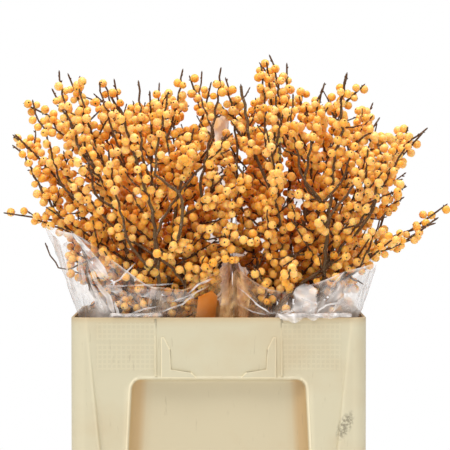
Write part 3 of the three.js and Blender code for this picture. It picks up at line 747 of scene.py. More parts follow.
def clear_film(settings):
    """Clear polypropylene film: see-through face on, with creases painted bright as highlights, a sheen at a
    slant, and painted reflection.
    """
    material, shader, add, place = new_material("clear_polypropylene_film")
    sheet = add("ShaderNodeTexCoord").outputs["UV"]
    # How sharply the film is folded, how white it shows, partly as painted highlight, and how much painted
    # reflection it shows.
    fold, cloud, reflection_share = (
        add("ShaderNodeAttribute", attribute_name=name).outputs["Fac"] for name in FILM_ATTRIBUTES
    )
    # The sheet is pulled about by its gathers, so creases curve and fan instead of running straight.
    pull = add("ShaderNodeTexNoise", {"Vector": sheet, "Scale": 7.0, "Detail": 1.0})
    swing = add("ShaderNodeVectorMath", {0: pull.outputs["Color"], 1: (0.5, 0.5, 0.5)}, operation="SUBTRACT")
    moved = add("ShaderNodeVectorMath", {0: swing, 1: (0.07, 0.07, 0.0), 2: sheet}, operation="MULTIPLY_ADD")

    def crease_noise(turn, across, down, detail):
        """Noise drawn out along the creases: across and down are how many fit in a metre."""
        turned = add("ShaderNodeMapping", {"Vector": moved, "Rotation": (0.0, 0.0, turn)})
        drawn = add("ShaderNodeMapping", {"Vector": turned, "Scale": (across, down, 1.0)})
        return add("ShaderNodeTexNoise", {"Vector": drawn, "Scale": 1.0, "Detail": detail})

    def graded(value, low, high, top=1.0):
        return add(
            "ShaderNodeMapRange", {0: value, 1: low, 2: high, 4: top}, interpolation_type="SMOOTHSTEP"
        )

    # Crisp creases as painted highlights, 1.5 mm wide where the real ones are 0.3 mm, so that they show;
    # each comes and goes.
    ridge = crease_noise(0.3, 62.0, 6.0, 1.0)
    offset = add("ShaderNodeMath", {0: ridge, 1: 0.5}, operation="SUBTRACT")
    apart = add("ShaderNodeMath", {0: offset}, operation="ABSOLUTE")
    crisp = add("ShaderNodeMath", {0: 1.0, 1: graded(apart, 0.0, 0.03)}, operation="SUBTRACT")
    coming = add("ShaderNodeTexNoise", {"Vector": sheet, "Scale": 26.0, "Detail": 1.0})
    lines = add("ShaderNodeMath", {0: crisp, 1: graded(coming, 0.47, 0.66, 0.62)}, operation="MULTIPLY")
    # Painted highlights in soft bands 6 to 15 mm wide, where the film is doubled or turns to the light.
    band_one = graded(crease_noise(0.45, 40.0, 5.0, 2.0), 0.56, 0.72, 0.34)
    band_two = graded(crease_noise(-0.7, 34.0, 6.0, 2.0), 0.58, 0.74, 0.28)
    bands = add("ShaderNodeMath", {0: band_one, 1: band_two}, operation="MAXIMUM")
    # Clouded patches 40 to 80 mm wide; between them the film all but vanishes.
    patch = add("ShaderNodeTexNoise", {"Vector": sheet, "Scale": 14.0, "Detail": 2.0})
    milk = graded(patch, 0.44, 0.72, 0.16)
    slant = add("ShaderNodeLayerWeight", {"Blend": 0.25})
    sheen = add("ShaderNodeMath", {0: slant.outputs["Facing"], 1: 0.14}, operation="MULTIPLY")
    # Sharp folds of the sheet are painted whiter, as highlights.
    folded = add("ShaderNodeMath", {0: fold, 1: 0.3}, operation="MULTIPLY")
    marks = add("ShaderNodeMath", {0: lines, 1: bands}, operation="MAXIMUM")
    both = add("ShaderNodeMath", {0: folded, 1: marks}, operation="ADD")
    hazy = add("ShaderNodeMath", {0: milk, 1: sheen}, operation="ADD")
    marked = add("ShaderNodeMath", {0: both, 1: hazy}, operation="ADD")
    clearer = add("ShaderNodeMapRange", {0: reflection_share, 3: 1.0, 4: 0.4})
    more = add("ShaderNodeMath", {0: marked, 1: clearer}, operation="MULTIPLY")
    more = add("ShaderNodeMath", {0: cloud, 1: 0.66, 2: more}, operation="MULTIPLY_ADD")
    alpha = add("ShaderNodeMath", {0: more, 1: settings.haze}, operation="ADD", use_clamp=True)
    bump = add("ShaderNodeBump", {"Strength": 0.6, "Distance": 0.002, "Height": ridge})
    plug(shader, {"Alpha": alpha, "Normal": bump})
    # Between the bunches and near the middle, the colour is a painted reflection of the berries and the
    # wood, in patches 12 mm wide.
    blur = add("ShaderNodeTexNoise", {"Vector": place, "Scale": 85.0, "Detail": 2.0})
    pair = {0: graded(blur, 0.38, 0.62), 6: "#CF9258", 7: settings.painted_reflection}
    painted_reflection = add("ShaderNodeMix", pair, data_type="RGBA")
    colour = add("ShaderNodeMix", {0: reflection_share, 6: settings.tint, 7: painted_reflection}, data_type="RGBA")
    plug(shader, {"Base Color": colour, "Roughness": 0.16, "IOR": 1.49})
    return material


def studio_floor(settings):
    """Matt white studio board, with the faintest cloud of use."""
    material, shader, add, place = new_material("studio_board")
    cloud = add("ShaderNodeTexNoise", {"Vector": place, "Scale": 3.0, "Detail": 3.0})
    colour = add("ShaderNodeMix", {0: cloud, 6: settings.floor, 7: "#FBFAF8"}, data_type="RGBA")
    plug(shader, {"Base Color": colour, "Roughness": 0.9})
    return material


# Bucket


def lean_at(z):
    return PANEL_LEAN * max(0.0, PANEL_TOP - z) / PANEL_TOP


def spread_between(keys, counts):
    """Places that divide each step between keys into its count of parts."""
    places = [keys[0]]
    for i, count in enumerate(counts):
        for k in range(1, count + 1):
            places.append(between(keys[i], keys[i + 1], k / count))
    return places


def bay_half_at(z, grow=0.0):
    share = clamp((BAY_TOP - z) / (BAY_TOP - BAY_BOTTOM), 0.0, 1.0)
    return between(BAY_TOP_WIDTH, BAY_BOTTOM_WIDTH, share) / 2 + grow


def inside_bay(x, z, grow=0.0):
    """How far a place on the panel lies inside the bay's rounded outline."""
    across = bay_half_at(z, grow) - abs(x)
    up = min(BAY_TOP + grow - z, z - BAY_BOTTOM + grow)
    from_side, from_end = BAY_CORNER - across, BAY_CORNER - up
    if from_side > 0 and from_end > 0:
        return BAY_CORNER - math.hypot(from_side, from_end)
    return min(across, up)


def bay_wall(distance, slope):
    share = clamp(distance / slope, 0.0, 1.0)
    return (1 - (1 - share) ** 2) ** 0.8


def bay_depth(x, z, grow, inside):
    """The bay: a raised lip, a tight edge, then long soft side walls and short end walls."""
    if inside <= 0:
        return -BAY_LIP * math.sin(math.pi * clamp(1 + inside / BAY_LIP_WIDTH, 0, 1))
    side_wall = bay_wall(bay_half_at(z, grow) - abs(x), BAY_SIDE_SLOPE)
    end_wall = bay_wall(min(BAY_TOP + grow - z, z - BAY_BOTTOM + grow), BAY_END_SLOPE)
    return BAY_DEPTH * side_wall * end_wall * smooth_step(inside / 1.2)


def panel_half_at(panel, z, grow=0.0):
    share = clamp((PANEL_TOP - z) / PANEL_TOP, 0.0, 1.0)
    return between(panel["top"], panel["base"], share) / 2 + grow


def panel_depth(x, z, panel):
    """How far a leaning panel lies in at a place across it, behind the step at its side."""
    return smooth_step((panel - abs(x)) / PANEL_STEP + 0.5) * lean_at(z)


def seam_highlight(x, panel):
    """How much painted highlight the wall has at a place across it: the seam beside a panel has some."""
    return SEAM_HIGHLIGHT * nearness(abs(x) - panel - 1.6, 1.4)


def front_profile(z, grow):
    """Places across the front at a height, with how deep each lies, and how much painted shade and painted
    highlight it has.
    """
    flat = BUCKET_WIDTH / 2 - COLUMN_RADIUS
    panel = min(panel_half_at(FRONT_PANEL, z, grow), flat - 1.6)
    bay = min(bay_half_at(z, grow), panel - PANEL_STEP - 3.0)
    beside = max(0.3 - flat, -panel - 3.6)
    keys = [-flat, beside, -panel - 1.3, 1.3 - panel, -bay - BAY_LIP_WIDTH, -bay]
    counts = [1, 1, 4, 6, 3]
    # The bay's wall is divided more finely near its edge, where it turns fastest.
    left = spread_between(keys, counts) + [BAY_SIDE_SLOPE * share - bay for share in WALL_SHARES]
    middle = spread_between([left[-1], 0.0], [11])[1:]
    left += middle
    places = left + [-x for x in reversed(left[:-1])]
    profile = []
    for x in places:
        inside = inside_bay(x, z, grow)
        depth = panel_depth(x, z, panel) + bay_depth(x, z, grow, inside)
        from_side = bay - abs(x)
        # Painted shade in the bay: strongest by its side walls, falling to a share of it on its floor.
        in_bay = smooth_step(inside / 1.5)
        bay_shade = in_bay * between(1.0, BAY_FLOOR_SHADE, smooth_step((from_side - 8.0) / 11.0))
        # Painted highlight along the bay's raised lip, fainter along its top and bottom.
        lip = nearness(inside + 1.2, 1.3) * (1.0 if abs(x) > bay - BAY_CORNER / 2 else 0.4)
        profile.append((x, depth, bay_shade, lip + seam_highlight(x, panel)))
    return profile


def side_profile(z, grow):
    flat = BUCKET_DEPTH / 2 - COLUMN_RADIUS
    panel = min(panel_half_at(SIDE_PANEL, z, grow), flat - 0.4)
    places = spread_between([-flat, -panel - 1.3, 1.3 - panel, 0.0], [1, 4, 8])
    places += [-x for x in reversed(places[:-1])]
    return [(x, panel_depth(x, z, panel), 0.0, seam_highlight(x, panel)) for x in places]


def bucket_ring(z, inset):
    """The bucket's outline at a height, moved in by an inset: points with painted shade and painted
    highlight.
    """
    ring = []
    for turn in range(4):
        long_face = turn % 2 == 0
        profile = front_profile(z, inset) if long_face else side_profile(z, inset)
        plane = (BUCKET_DEPTH if long_face else BUCKET_WIDTH) / 2
        flat = (BUCKET_WIDTH if long_face else BUCKET_DEPTH) / 2 - COLUMN_RADIUS
        cos, sin = [(1, 0), (0, 1), (-1, 0), (0, -1)][turn]
        points = [(x, inset + depth - plane, shade_and_grime, highlight_share) for x, depth, shade_and_grime, highlight_share in profile]
        for k in range(1, CORNER_STEPS):
            angle = math.pi / 2 * k / CORNER_STEPS
            reach = COLUMN_RADIUS - inset
            x = flat + reach * math.sin(angle)
            y = COLUMN_RADIUS - plane - reach * math.cos(angle)
            # The rounded corners carry a faint painted highlight.
            points.append((x, y, 0.0, 0.12))
        ring += [(cos * x - sin * y, sin * x + cos * y, z, g, r) for x, y, g, r in points]
    return ring


def bucket_rows():
    """Heights and insets from the base's edge up the outside, over the rim and down the inside."""
    slope = [BAY_END_SLOPE * share for share in WALL_SHARES] + [7.0, 10.0]
    lip = BAY_LIP_WIDTH
    keys = [1.4, 40.0, BAY_BOTTOM - 9.0, BAY_BOTTOM - lip, BAY_BOTTOM]
    outside = spread_between(keys, [4, 5, 2, 3]) + [BAY_BOTTOM + step for step in slope]
    outside += spread_between([outside[-1], BAY_TOP - slope[-1]], [17])[1:]
    outside += [BAY_TOP - step for step in reversed(slope[:-1])]
    outside += spread_between([BAY_TOP, BAY_TOP + lip, BAY_TOP + 8.0], [3, 2])
    outside += spread_between([BAY_TOP + 8.0, PANEL_TOP, BUCKET_HEIGHT - RIM_ROUND], [6, 2])[1:]
    rows = [(0.0, 1.4), (0.4, 0.4)]
    rows += [(z, 0.0) for z in outside]
    half = BUCKET_WALL / 2
    rows += [(BUCKET_HEIGHT - 0.35, 0.35), (BUCKET_HEIGHT, RIM_ROUND), (BUCKET_HEIGHT, half)]
    rows += [(BUCKET_HEIGHT, BUCKET_WALL - RIM_ROUND), (BUCKET_HEIGHT - 0.35, BUCKET_WALL - 0.35)]
    inner = [BUCKET_HEIGHT - RIM_ROUND, PANEL_TOP, 306.0]
    inner += [BAY_TOP + BUCKET_WALL - step for step in (0.0, 1.5, 3.0, 6.0)]
    inner += spread_between([BAY_TOP - 8.0, BAY_BOTTOM + 8.0], [7])
    inner += [BAY_BOTTOM - BUCKET_WALL + step for step in (6.0, 3.0, 1.5, 0.0)]
    inner += [BAY_BOTTOM - 9.0, 50.0, BUCKET_FLOOR + 2.0]
    rows += [(z, BUCKET_WALL) for z in inner]
    rows.append((BUCKET_FLOOR, BUCKET_WALL + 1.6))
    return rows


def bucket_shell(material):
    bm = bmesh.new()
    shade_layer = bm.verts.layers.float.new("shade_and_grime")
    highlight_layer = bm.verts.layers.float.new("rubbed")
    rings = []
    for z, inset in bucket_rows():
        ring = []
        inner = inset > BUCKET_WALL / 2
        for x, y, height, shade_and_grime, highlight_share in bucket_ring(z, inset):
            vert = bm.verts.new((x, y, height))
            # Painted shade outside, under the rim and in the bay; inside, the walls are browner towards the
            # bottom.
            outer_shade = max(0.8 * shade_and_grime, RIM_SHADE * nearness(BUCKET_HEIGHT - z, 5.0))
            vert[shade_layer] = between(0.75, 1.0, 1 - z / BUCKET_HEIGHT) if inner else outer_shade
            vert[highlight_layer] = clamp(highlight_share * (not inner), 0, 1)
            ring.append(vert)
        rings.append(ring)
    for low, high in zip(rings, rings[1:]):
        for k, vert in enumerate(low):
            after = (k + 1) % len(low)
            bm.faces.new((vert, low[after], high[after], high[k]))
    for ring in (rings[0], rings[-1]):
        edges = [bm.edges.get((vert, ring[(k + 1) % len(ring)])) for k, vert in enumerate(ring)]
        bmesh.ops.triangle_fill(bm, use_beauty=True, edges=edges)
    bmesh.ops.recalc_face_normals(bm, faces=bm.faces)
    return object_of("bucket_shell", bm, material, sharp_angle=38)


def prism_on_panel(bm, outline, deep, proud, plain_from):
    """A flat shape set into the front panel, and its twin on the back, with eased edges that carry a painted
    highlight.
    """
    rubbed = bm.verts.layers.float["rubbed"]
    for turn in (1, -1):
        inner, outer = ([bm.verts.new((turn * x, turn * y, z)) for x, z in outline] for y in (deep, proud))
        front = bm.faces.new(outer)
        bm.faces.new(inner[::-1])
        for k in range(len(outline)):
            after = (k + 1) % len(outline)
            bm.faces.new((inner[k], inner[after], outer[after], outer[k]))
        # Painted highlight on every edge; the plain middle of the outer face is cleared of it below.
        for vert in inner + outer:
            vert[rubbed] = EDGE_HIGHLIGHT
        bmesh.ops.bevel(bm, geom=list(front.edges), offset=0.45, segments=2, affect="EDGES")
        for face in list(bm.faces):
            middle = face.calc_center_median()
            if abs(middle.y - turn * proud) < 1e-4 and middle.x * turn * outline[0][0] > 0:
                bmesh.ops.inset_individual(bm, faces=[face], thickness=plain_from)
                for vert in face.verts:
                    vert[rubbed] = 0.0


def card_holders(material):
    """Card rails and the upright ridges beside them, on the front and the back."""
    bm = bmesh.new()
    bm.verts.layers.float.new("rubbed")
    face = lean_at(RAIL_FOOT) - BUCKET_DEPTH / 2
    outer, foot = RAIL_FROM_MIDDLE, RAIL_FOOT
    rail = [
        (outer, foot), (outer, RAIL_TOP), (outer - 3, RAIL_TOP), (outer - 9, RAIL_TOP - 12),
        (outer - 9, foot + 8), (outer - 29, foot + 6), (outer - 35, foot),
    ]
    ridge_in, ridge_out = RIDGE_FROM_MIDDLE, RIDGE_FROM_MIDDLE + RIDGE_WIDTH
    top, bottom = BUCKET_HEIGHT - 1.5, BAY_TOP + 3.5
    ridge = [(ridge_in, bottom), (ridge_out, bottom), (ridge_out, top), (ridge_in, top)]
    for side in (1, -1):
        prism_on_panel(bm, [(side * x, z) for x, z in rail], face + RAIL_ROOT, face - RAIL_PROUD, RAIL_EDGE)
        deep, proud = 2.5 - BUCKET_DEPTH / 2, -RIDGE_PROUD - BUCKET_DEPTH / 2 + 0.45
        prism_on_panel(bm, [(side * x, z) for x, z in ridge], deep, proud, RIDGE_EDGE)
    bmesh.ops.recalc_face_normals(bm, faces=bm.faces)
    return object_of("card_holders", bm, material, sharp_angle=50)


def grip_tree():
    """Geometry Nodes: bars across and up a pad, at the pad's places, on the leaning panel."""
    sizes = {name: "Float" for name in ("Width", "Height", "Pitch", "Bar width", "Bar height")}
    tree = new_tree("grip_bars", {"Pad places": "Geometry", **sizes, "Plastic": "Material"}, "Bars")
    add = partial(add_node, tree)
    given = add("NodeGroupInput").outputs

    def bars(axis, run, other, length, height):
        """A row of bars along one axis, each as long as the pad is along the other."""
        count = add("ShaderNodeMath", {0: given[run], 1: given["Pitch"]}, operation="DIVIDE")
        whole = add("FunctionNodeFloatToInt", {0: count}, rounding_mode="FLOOR")
        number = add("ShaderNodeMath", {0: whole, 1: 1.0}, operation="ADD")
        half = add("ShaderNodeMath", {0: whole, 1: given["Pitch"]}, operation="MULTIPLY")
        start = add("ShaderNodeMath", {0: half, 1: -0.5}, operation="MULTIPLY")
        first = add("ShaderNodeCombineXYZ", {axis: start})
        offset = add("ShaderNodeCombineXYZ", {axis: given["Pitch"]})
        line = add("GeometryNodeMeshLine", {"Count": number, "Start Location": first, "Offset": offset})
        proud = add("ShaderNodeMath", {0: given["Bar height"], 1: height}, operation="MULTIPLY")
        size = add("ShaderNodeCombineXYZ", {axis: given["Bar width"], "Y": proud, other: given[length]})
        box = add("GeometryNodeMeshCube", {"Size": size})
        return add("GeometryNodeInstanceOnPoints", {"Points": line, "Instance": box})

    both = add("GeometryNodeJoinGeometry")
    plug(both, {0: bars("X", "Width", "Z", "Height", 1.0)})
    plug(both, {0: bars("Z", "Height", "X", "Width", LEVEL_BAR_HEIGHT)})
    lean = add("GeometryNodeInputNamedAttribute", {"Name": "lean"}, data_type="FLOAT_VECTOR")
    placed = {"Points": given["Pad places"], "Instance": both, "Rotation": lean}
    pads = add("GeometryNodeInstanceOnPoints", placed)
    real = add("GeometryNodeRealizeInstances", {"Geometry": pads})
    # The bars are painted a little paler, as a highlight.
    rubbed = add(
        "GeometryNodeStoreNamedAttribute",
        {"Geometry": real, "Name": "rubbed", "Value": GRIP_HIGHLIGHT}, data_type="FLOAT", domain="POINT",
    )
    coloured = add("GeometryNodeSetMaterial", {"Geometry": rubbed, "Material": given["Plastic"]})
    add("NodeGroupOutput", {0: coloured})
    return tree


def grip_grids(settings, material):
    """The raised grids of fine bars at the upper corners of the front and back panels."""
    tree = grip_tree()
    pads = []
    for grid in GRIP_GRIDS:
        places, leans = [], []
        face = BUCKET_DEPTH / 2 - lean_at(grid["z"])
        for side, turn in ((1, 1), (1, -1), (-1, 1), (-1, -1)):
            places.append([c * MILLIMETRE for c in (side * grid["x"], -turn * face, grid["z"])])
            leans += [turn * math.atan2(PANEL_LEAN, PANEL_TOP), 0.0, 0.0]
        mesh = bpy.data.meshes.new("grip_pads")
        mesh.from_pydata(places, [], [])
        mesh.attributes.new("lean", "FLOAT_VECTOR", "POINT").data.foreach_set("vector", leans)
        inputs = {
            "Width": grid["width"] * MILLIMETRE, "Height": grid["height"] * MILLIMETRE,
            "Pitch": settings.grip_pitch, "Bar width": settings.grip_width,
            "Bar height": 2 * settings.grip_proud, "Plastic": material,
        }
        pads.append(made_by_nodes(f"grip_grid_{len(pads) + 1}", mesh, tree, inputs))
    return pads


# Film sleeves


def side_of(bunch):
    return -1 if bunch == "left" else 1


def film_size_at(z):
    """The film's outer and half-depth distances at a height."""
    rim_z, rim_outer, rim_half = FILM_LEVELS[-1]
    if z >= rim_z:
        above = min(z - rim_z, FILM_FLARE_HEIGHT)
        return rim_outer + FILM_FLARE_OUTER * above, rim_half + FILM_FLARE_HALF * above
    high = max(1, next(i for i, level in enumerate(FILM_LEVELS) if level[0] > z))
    low_level, high_level = FILM_LEVELS[high - 1], FILM_LEVELS[high]
    share = (z - low_level[0]) / (high_level[0] - low_level[0])
    return between(low_level[1], high_level[1], share), between(low_level[2], high_level[2], share)


def film_rise(bunch, angle):
    """How high the film's edge stands above the rim, at an angle from the bunch's outer side."""
    c, s = math.cos(angle), math.sin(angle)
    sideways = c * c * (FILM_RISE[bunch] if c > 0 else FILM_RISE["inner"])
    endways = s * s * (FILM_RISE["back"] if s > 0 else FILM_RISE["front"])
    peaks = sum(peak[bunch] * max(0.0, math.cos(angle - peak["angle"])) ** 6 for peak in FILM_PEAKS)
    return sideways + endways + peaks + FILM_RIPPLE * math.sin(5 * angle + 1)


def film_at(bunch, angle, z):
    """The film's middle line and its reach from there, at an angle and a height."""
    outer, half = film_size_at(z)
    middle = (outer + FILM_INNER[bunch]) / 2
    across = abs(math.cos(angle)) / (outer - middle)
    deep = abs(math.sin(angle)) / half
    reach = (across**FILM_SQUARENESS + deep**FILM_SQUARENESS) ** (-1 / FILM_SQUARENESS)
    loose = clamp((z - BUCKET_HEIGHT) / 100, 0, 1) * (1 + math.cos(angle)) / 2
    return middle, reach * (1 + FILM_PLEAT_DEPTH * loose * math.sin(FILM_PLEATS * angle))


def place_against_film(bunch, point, radius, clearance):
    """Where a ball stands to a sleeve: in, over and out are clear of the film."""
    margin = FILM_SLANT * (radius + clearance)
    middle, _ = film_at(bunch, 0.0, point.z)
    u, v = side_of(bunch) * point.x - middle, point.y
    angle = math.atan2(v, u)
    if point.z - margin > BUCKET_HEIGHT + film_rise(bunch, angle):
        return "over"
    _, reach = film_at(bunch, angle, point.z)
    distance = math.hypot(u, v)
    if distance < reach - margin:
        return "in"
    return "out" if distance > reach + margin else "crossing"


def clear_of_film(bunch, point, radius, clearance=FILM_CLEARANCE):
    other = "right" if bunch == "left" else "left"
    own = place_against_film(bunch, point, radius, clearance)
    return own in ("in", "over") and place_against_film(other, point, radius, clearance) in ("out", "over")


def ridge_noise(x, y, z):
    """Sharp-backed folds: 1 along a crease, falling to 0 between creases."""
    return 1 - min(1.0, abs(2.2 * noise.noise((x, y, z))))


def film_cloud(bunch, angle, z, hem, painted_mirror):
    """How white the film shows: a painted highlight along its hem, the gathers at the rim, and the two inner
    walls, made opaque for their painted reflection.
    """
    mottle = clamp(0.6 + 1.6 * noise.noise((6 * angle, z / 16, side_of(bunch) * 5.0)), 0, 1)
    gathers = 0.3 * nearness(z - BUCKET_HEIGHT, 14) * mottle
    # At the outer end the film stands open to the light behind it, and nearly vanishes.
    open_end = smooth_step((z - 352) / 25) * smooth_step((math.cos(angle) - 0.6) / 0.3)
    return max(0.75 * hem * mottle, gathers, FILM_MIRROR_CLOUD * painted_mirror) - 0.2 * open_end


def top_fold(bunch, point):
    """How opaque the left sleeve's highest fold lies at a point, to show the painted reflection there."""
    if bunch == "right" or point.y < 0:
        return 0.0
    beside = math.exp(-(((point.x - FILM_TOP_FOLD["x"]) / FILM_TOP_FOLD["half"]) ** 4))
    mottle = clamp(0.85 + 0.9 * noise.noise(point / 11), 0.5, 1.0)
    return FILM_TOP_FOLD["cloud"] * mottle * beside * smooth_step((point.z - FILM_TOP_FOLD["from"]) / 14)


def film_point(bunch, angle, z, crease, lift=0.0):
    """A point of the crumpled film, how sharply it is folded there, and how opaque it is made for the
    painted reflection.
    """
    offset = FILM_SHIFT[bunch]
    middle, reach = film_at(bunch, angle, z)
    x, y = middle + reach * math.cos(angle), reach * math.sin(angle)
    above = smooth_step((z - 330) / 30)
    long_fold = ridge_noise(x / 34 + offset, y / 34, z / 110)
    short_fold = ridge_noise(x / 15, y / 15 + offset, z / 30)
    # The two sleeves lie against each other between the bunches, and wave together there.
    shared = smooth_step(1 - abs(side_of(bunch) * x - 14) / 22)
    push = crease * between(0.25, 1.0, above) * (0.7 * long_fold**2 + 0.5 * short_fold**2 - 0.45)
    reach += push * (1 - 0.75 * shared) + lift
    u = middle + reach * math.cos(angle)
    point = Vector((side_of(bunch) * u, reach * math.sin(angle), z))
    point.x += shared * FILM_WAVE * noise.noise((3.0, y / 38, z / 60))
    # Behind, the film is bunched up for some way from there, low down, and made opaque for the painted
    # reflection.
    painted_mirror = max(shared, smooth_step(1.6 * (1 - abs(point.x - 14) / 46)) if y > 0 else 0.0)
    painted_mirror *= between(0.42, 1.0, smooth_step((424 - z) / 34))
    return point, above * clamp(1.3 * max(long_fold, short_fold) ** 6 - 0.3, 0, 1), painted_mirror


def front_angle(bunch, x, z):
    """The angle at which the film's front stands at a place across and a height."""
    outer_end, inner_end = 0.0, -math.pi
    for _ in range(24):
        angle = (outer_end + inner_end) / 2
        middle, reach = film_at(bunch, angle, z)
        if middle + reach * math.cos(angle) > side_of(bunch) * x:
            outer_end = angle
        else:
            inner_end = angle
    return angle


def sheet_faces(bm, grid, uv_layer, on_sheet):
    """Faces between a grid's rows of points, with each corner's place on the flat sheet."""
    for j, (line, upper) in enumerate(zip(grid, grid[1:])):
        for k in range(len(line) - 1):
            face = bm.faces.new((line[k], line[k + 1], upper[k + 1], upper[k]))
            for loop, (column, row) in zip(face.loops, ((k, j), (k + 1, j), (k + 1, j + 1), (k, j + 1))):
                loop[uv_layer].uv = on_sheet(column, row)


def film_crease(bm, bunch, drawn, crease, cloud_layer, uv_layer):
    """A fold of doubled film along places seen from the front, lying on the sheet's outside, painted white
    along it as a highlight.
    """
    strength, halves, places = drawn
    run = []
    for (x, z), (next_x, next_z) in zip(places, places[1:]):
        steps = max(1, round(math.hypot(next_x - x, next_z - z) / 3))
        run += [(between(x, next_x, k / steps), between(z, next_z, k / steps)) for k in range(steps)]
    run.append(places[-1])
    lines = []
    for i, (x, z) in enumerate(run):
        before, after = run[max(0, i - 2)], run[min(len(run) - 1, i + 2)]
        way = Vector((after[0] - before[0], after[1] - before[1])).normalized()
        share = i / (len(run) - 1)
        end = smooth_step(6 * min(share, 1 - share))
        half = between(*halves, share) * between(0.35, 1.0, end)
        line = []
        for step, white in CREASE_PROFILE:
            ragged = 1 + 0.15 * noise.noise((x / 6, z / 6, step))
            place_x, place_z = x - way.y * half * step * ragged, z + way.x * half * step * ragged
            angle = front_angle(bunch, place_x, place_z)
            point, _, _ = film_point(bunch, angle, place_z, crease, lift=CREASE_LIFT)
            vert = bm.verts.new(point)
            mottle = clamp(0.8 + 1.2 * noise.noise((place_x / 9, place_z / 9, 4.0)), 0.3, 1.15)
            vert[cloud_layer] = strength * white * mottle * between(0.3, 1.0, end)
            line.append(vert)
        lines.append(line)
    sheet_faces(bm, lines, uv_layer, lambda column, row: (0.7 + 0.001 * column, 0.003 * row))


def along_path(path, length):
    """Depth and height at a length along a path of the film."""
    for (y, z), (next_y, next_z) in zip(path, path[1:]):
        step = math.hypot(next_y - y, next_z - z)
        if length <= step:
            return between(y, next_y, length / step), between(z, next_z, length / step)
        length -= step
    return path[-1]


def film_lap(bm, lap, layers, uv_layer):
    """A lap of film along a path in depth and height, over the rim or over the sleeves' gap."""
    fold_layer, cloud_layer, reflection_layer = layers
    columns, rows = max(6, round((lap["to"] - lap["from"]) / 2)), 16
    strength = lap["white"]
    grid = []
    for k in range(columns + 1):
        share = k / columns
        x = between(lap["from"], lap["to"], share)
        wave = clamp(0.8 + 1.3 * noise.noise((x / 11, 2, 4)), 0.25, 1.3)
        hang = lap["more"] * math.sin(math.pi * share) ** 0.6 * wave
        line = []
        for j in range(rows + 1):
            y, z = along_path(lap["path"], (lap["length"] + hang) * j / rows)
            crinkle = noise.noise((x / 5, z / 7, 9))
            lift = 1.1 * (0.6 + crinkle) + 1.6 * smooth_step(noise.noise((x / 14, 7, 1)) + 0.4)
            vert = bm.verts.new((x + 3.5 * (j / rows - 0.5), y - lift * 0.5, z + lift * 0.5))
            # The lap's white, partly painted highlight, follows its crinkles.
            vert[fold_layer] = strength * clamp(2.2 * abs(crinkle) - 0.3, 0, 1)
            vert[cloud_layer] = strength * clamp(0.4 + 0.9 * crinkle, 0.1, 0.9)
            # How much of the painted reflection the lap shows.
            vert[reflection_layer] = lap.get("reflection_share", 0.0)
            line.append(vert)
        grid.append(line)
    sheet_faces(bm, list(zip(*grid)), uv_layer, lambda column, row: (0.8 + 0.002 * column, 0.002 * row))


def cut_area(bunch):
    """The flat area of a sleeve's cut: the plain tube from its foot to its hem, before it is crumpled."""
    low, rows = FILM_LEVELS[0][0], FILM_ROWS_INSIDE + FILM_ROWS_ABOVE
    seams = []
    for column in range(FILM_COLUMNS + 1):
        angle = 2 * math.pi * column / FILM_COLUMNS
        seam = []
        for row in range(rows + 1):
            z = between(low, BUCKET_HEIGHT + film_rise(bunch, angle), row / rows)
            middle, reach = film_at(bunch, angle, z)
            seam.append(Vector((middle + reach * math.cos(angle), reach * math.sin(angle), z)))
        seams.append(seam)
    area = 0.0
    for seam, after in zip(seams, seams[1:]):
        for row in range(rows):
            area += (after[row] - seam[row]).cross(seam[row + 1] - seam[row]).length
    return area * MILLIMETRE**2


def film_sleeve(bunch, settings, material):
    """One sleeve: a crumpled tube of film that flares above the rim to its cut edge."""
    bm = bmesh.new()
    fold_layer, cloud_layer, reflection_layer = layers = [bm.verts.layers.float.new(n) for n in FILM_ATTRIBUTES]
    uv_layer = bm.loops.layers.uv.new("sheet")
    low = FILM_LEVELS[0][0]
    crease = settings.crease / MILLIMETRE
    lengths = {}
    rows = []
    for row in range(FILM_ROWS_INSIDE + FILM_ROWS_ABOVE + 1):
        ring = []
        step = row - FILM_ROWS_INSIDE
        for column in range(FILM_COLUMNS):
            angle = side_of(bunch) * 2 * math.pi * column / FILM_COLUMNS
            ragged = 3.5 * noise.noise((column / 7.0, FILM_SHIFT[bunch], 0.0))
            rise = film_rise(bunch, angle) + ragged
            if step <= 0:
                z = between(low, BUCKET_HEIGHT, row / FILM_ROWS_INSIDE)
            else:
                z = BUCKET_HEIGHT + rise * step / FILM_ROWS_ABOVE
            point, folded, painted_mirror = film_point(bunch, angle, z, crease)
            vert = bm.verts.new(point)
            # A painted highlight along the hem.
            hem = smooth_step(step / FILM_ROWS_ABOVE * 12 - 11)
            vert[cloud_layer] = max(film_cloud(bunch, angle, z, hem, painted_mirror), top_fold(bunch, point))
            # Painted reflection of the bunches on the opaque inner walls, and on the film near the middle.
            vert[reflection_layer] = max(painted_mirror, nearness(point.x, 70))
            lengths[vert] = min(z, BUCKET_HEIGHT) + rise * max(0, step) / FILM_ROWS_ABOVE
            vert[fold_layer] = folded
            ring.append(vert)
        rows.append(ring)

    def on_sheet(column, row):
        vert = rows[row][column % FILM_COLUMNS]
        return SHEET_ROUND * column / FILM_COLUMNS, lengths[vert] * MILLIMETRE

    sheet_faces(bm, [ring + ring[:1] for ring in rows], uv_layer, on_sheet)
    for lap in FILM_LAPS[bunch]:
        film_lap(bm, lap, layers, uv_layer)
    for drawn in FILM_CREASES[bunch]:
        film_crease(bm, bunch, drawn, crease, cloud_layer, uv_layer)
    return object_of(f"film_sleeve_{bunch}", bm, material, sharp_angle=70)


# Branches: the CAD's own rule first


def across_axes(heading):
    """Two unit vectors across a direction, which turn with it."""
    steep = abs(heading.z) > 0.3
    side = Vector((1, 0, 0) if steep else (0, 0, 1)).cross(heading).normalized()
    return side, heading.cross(side)


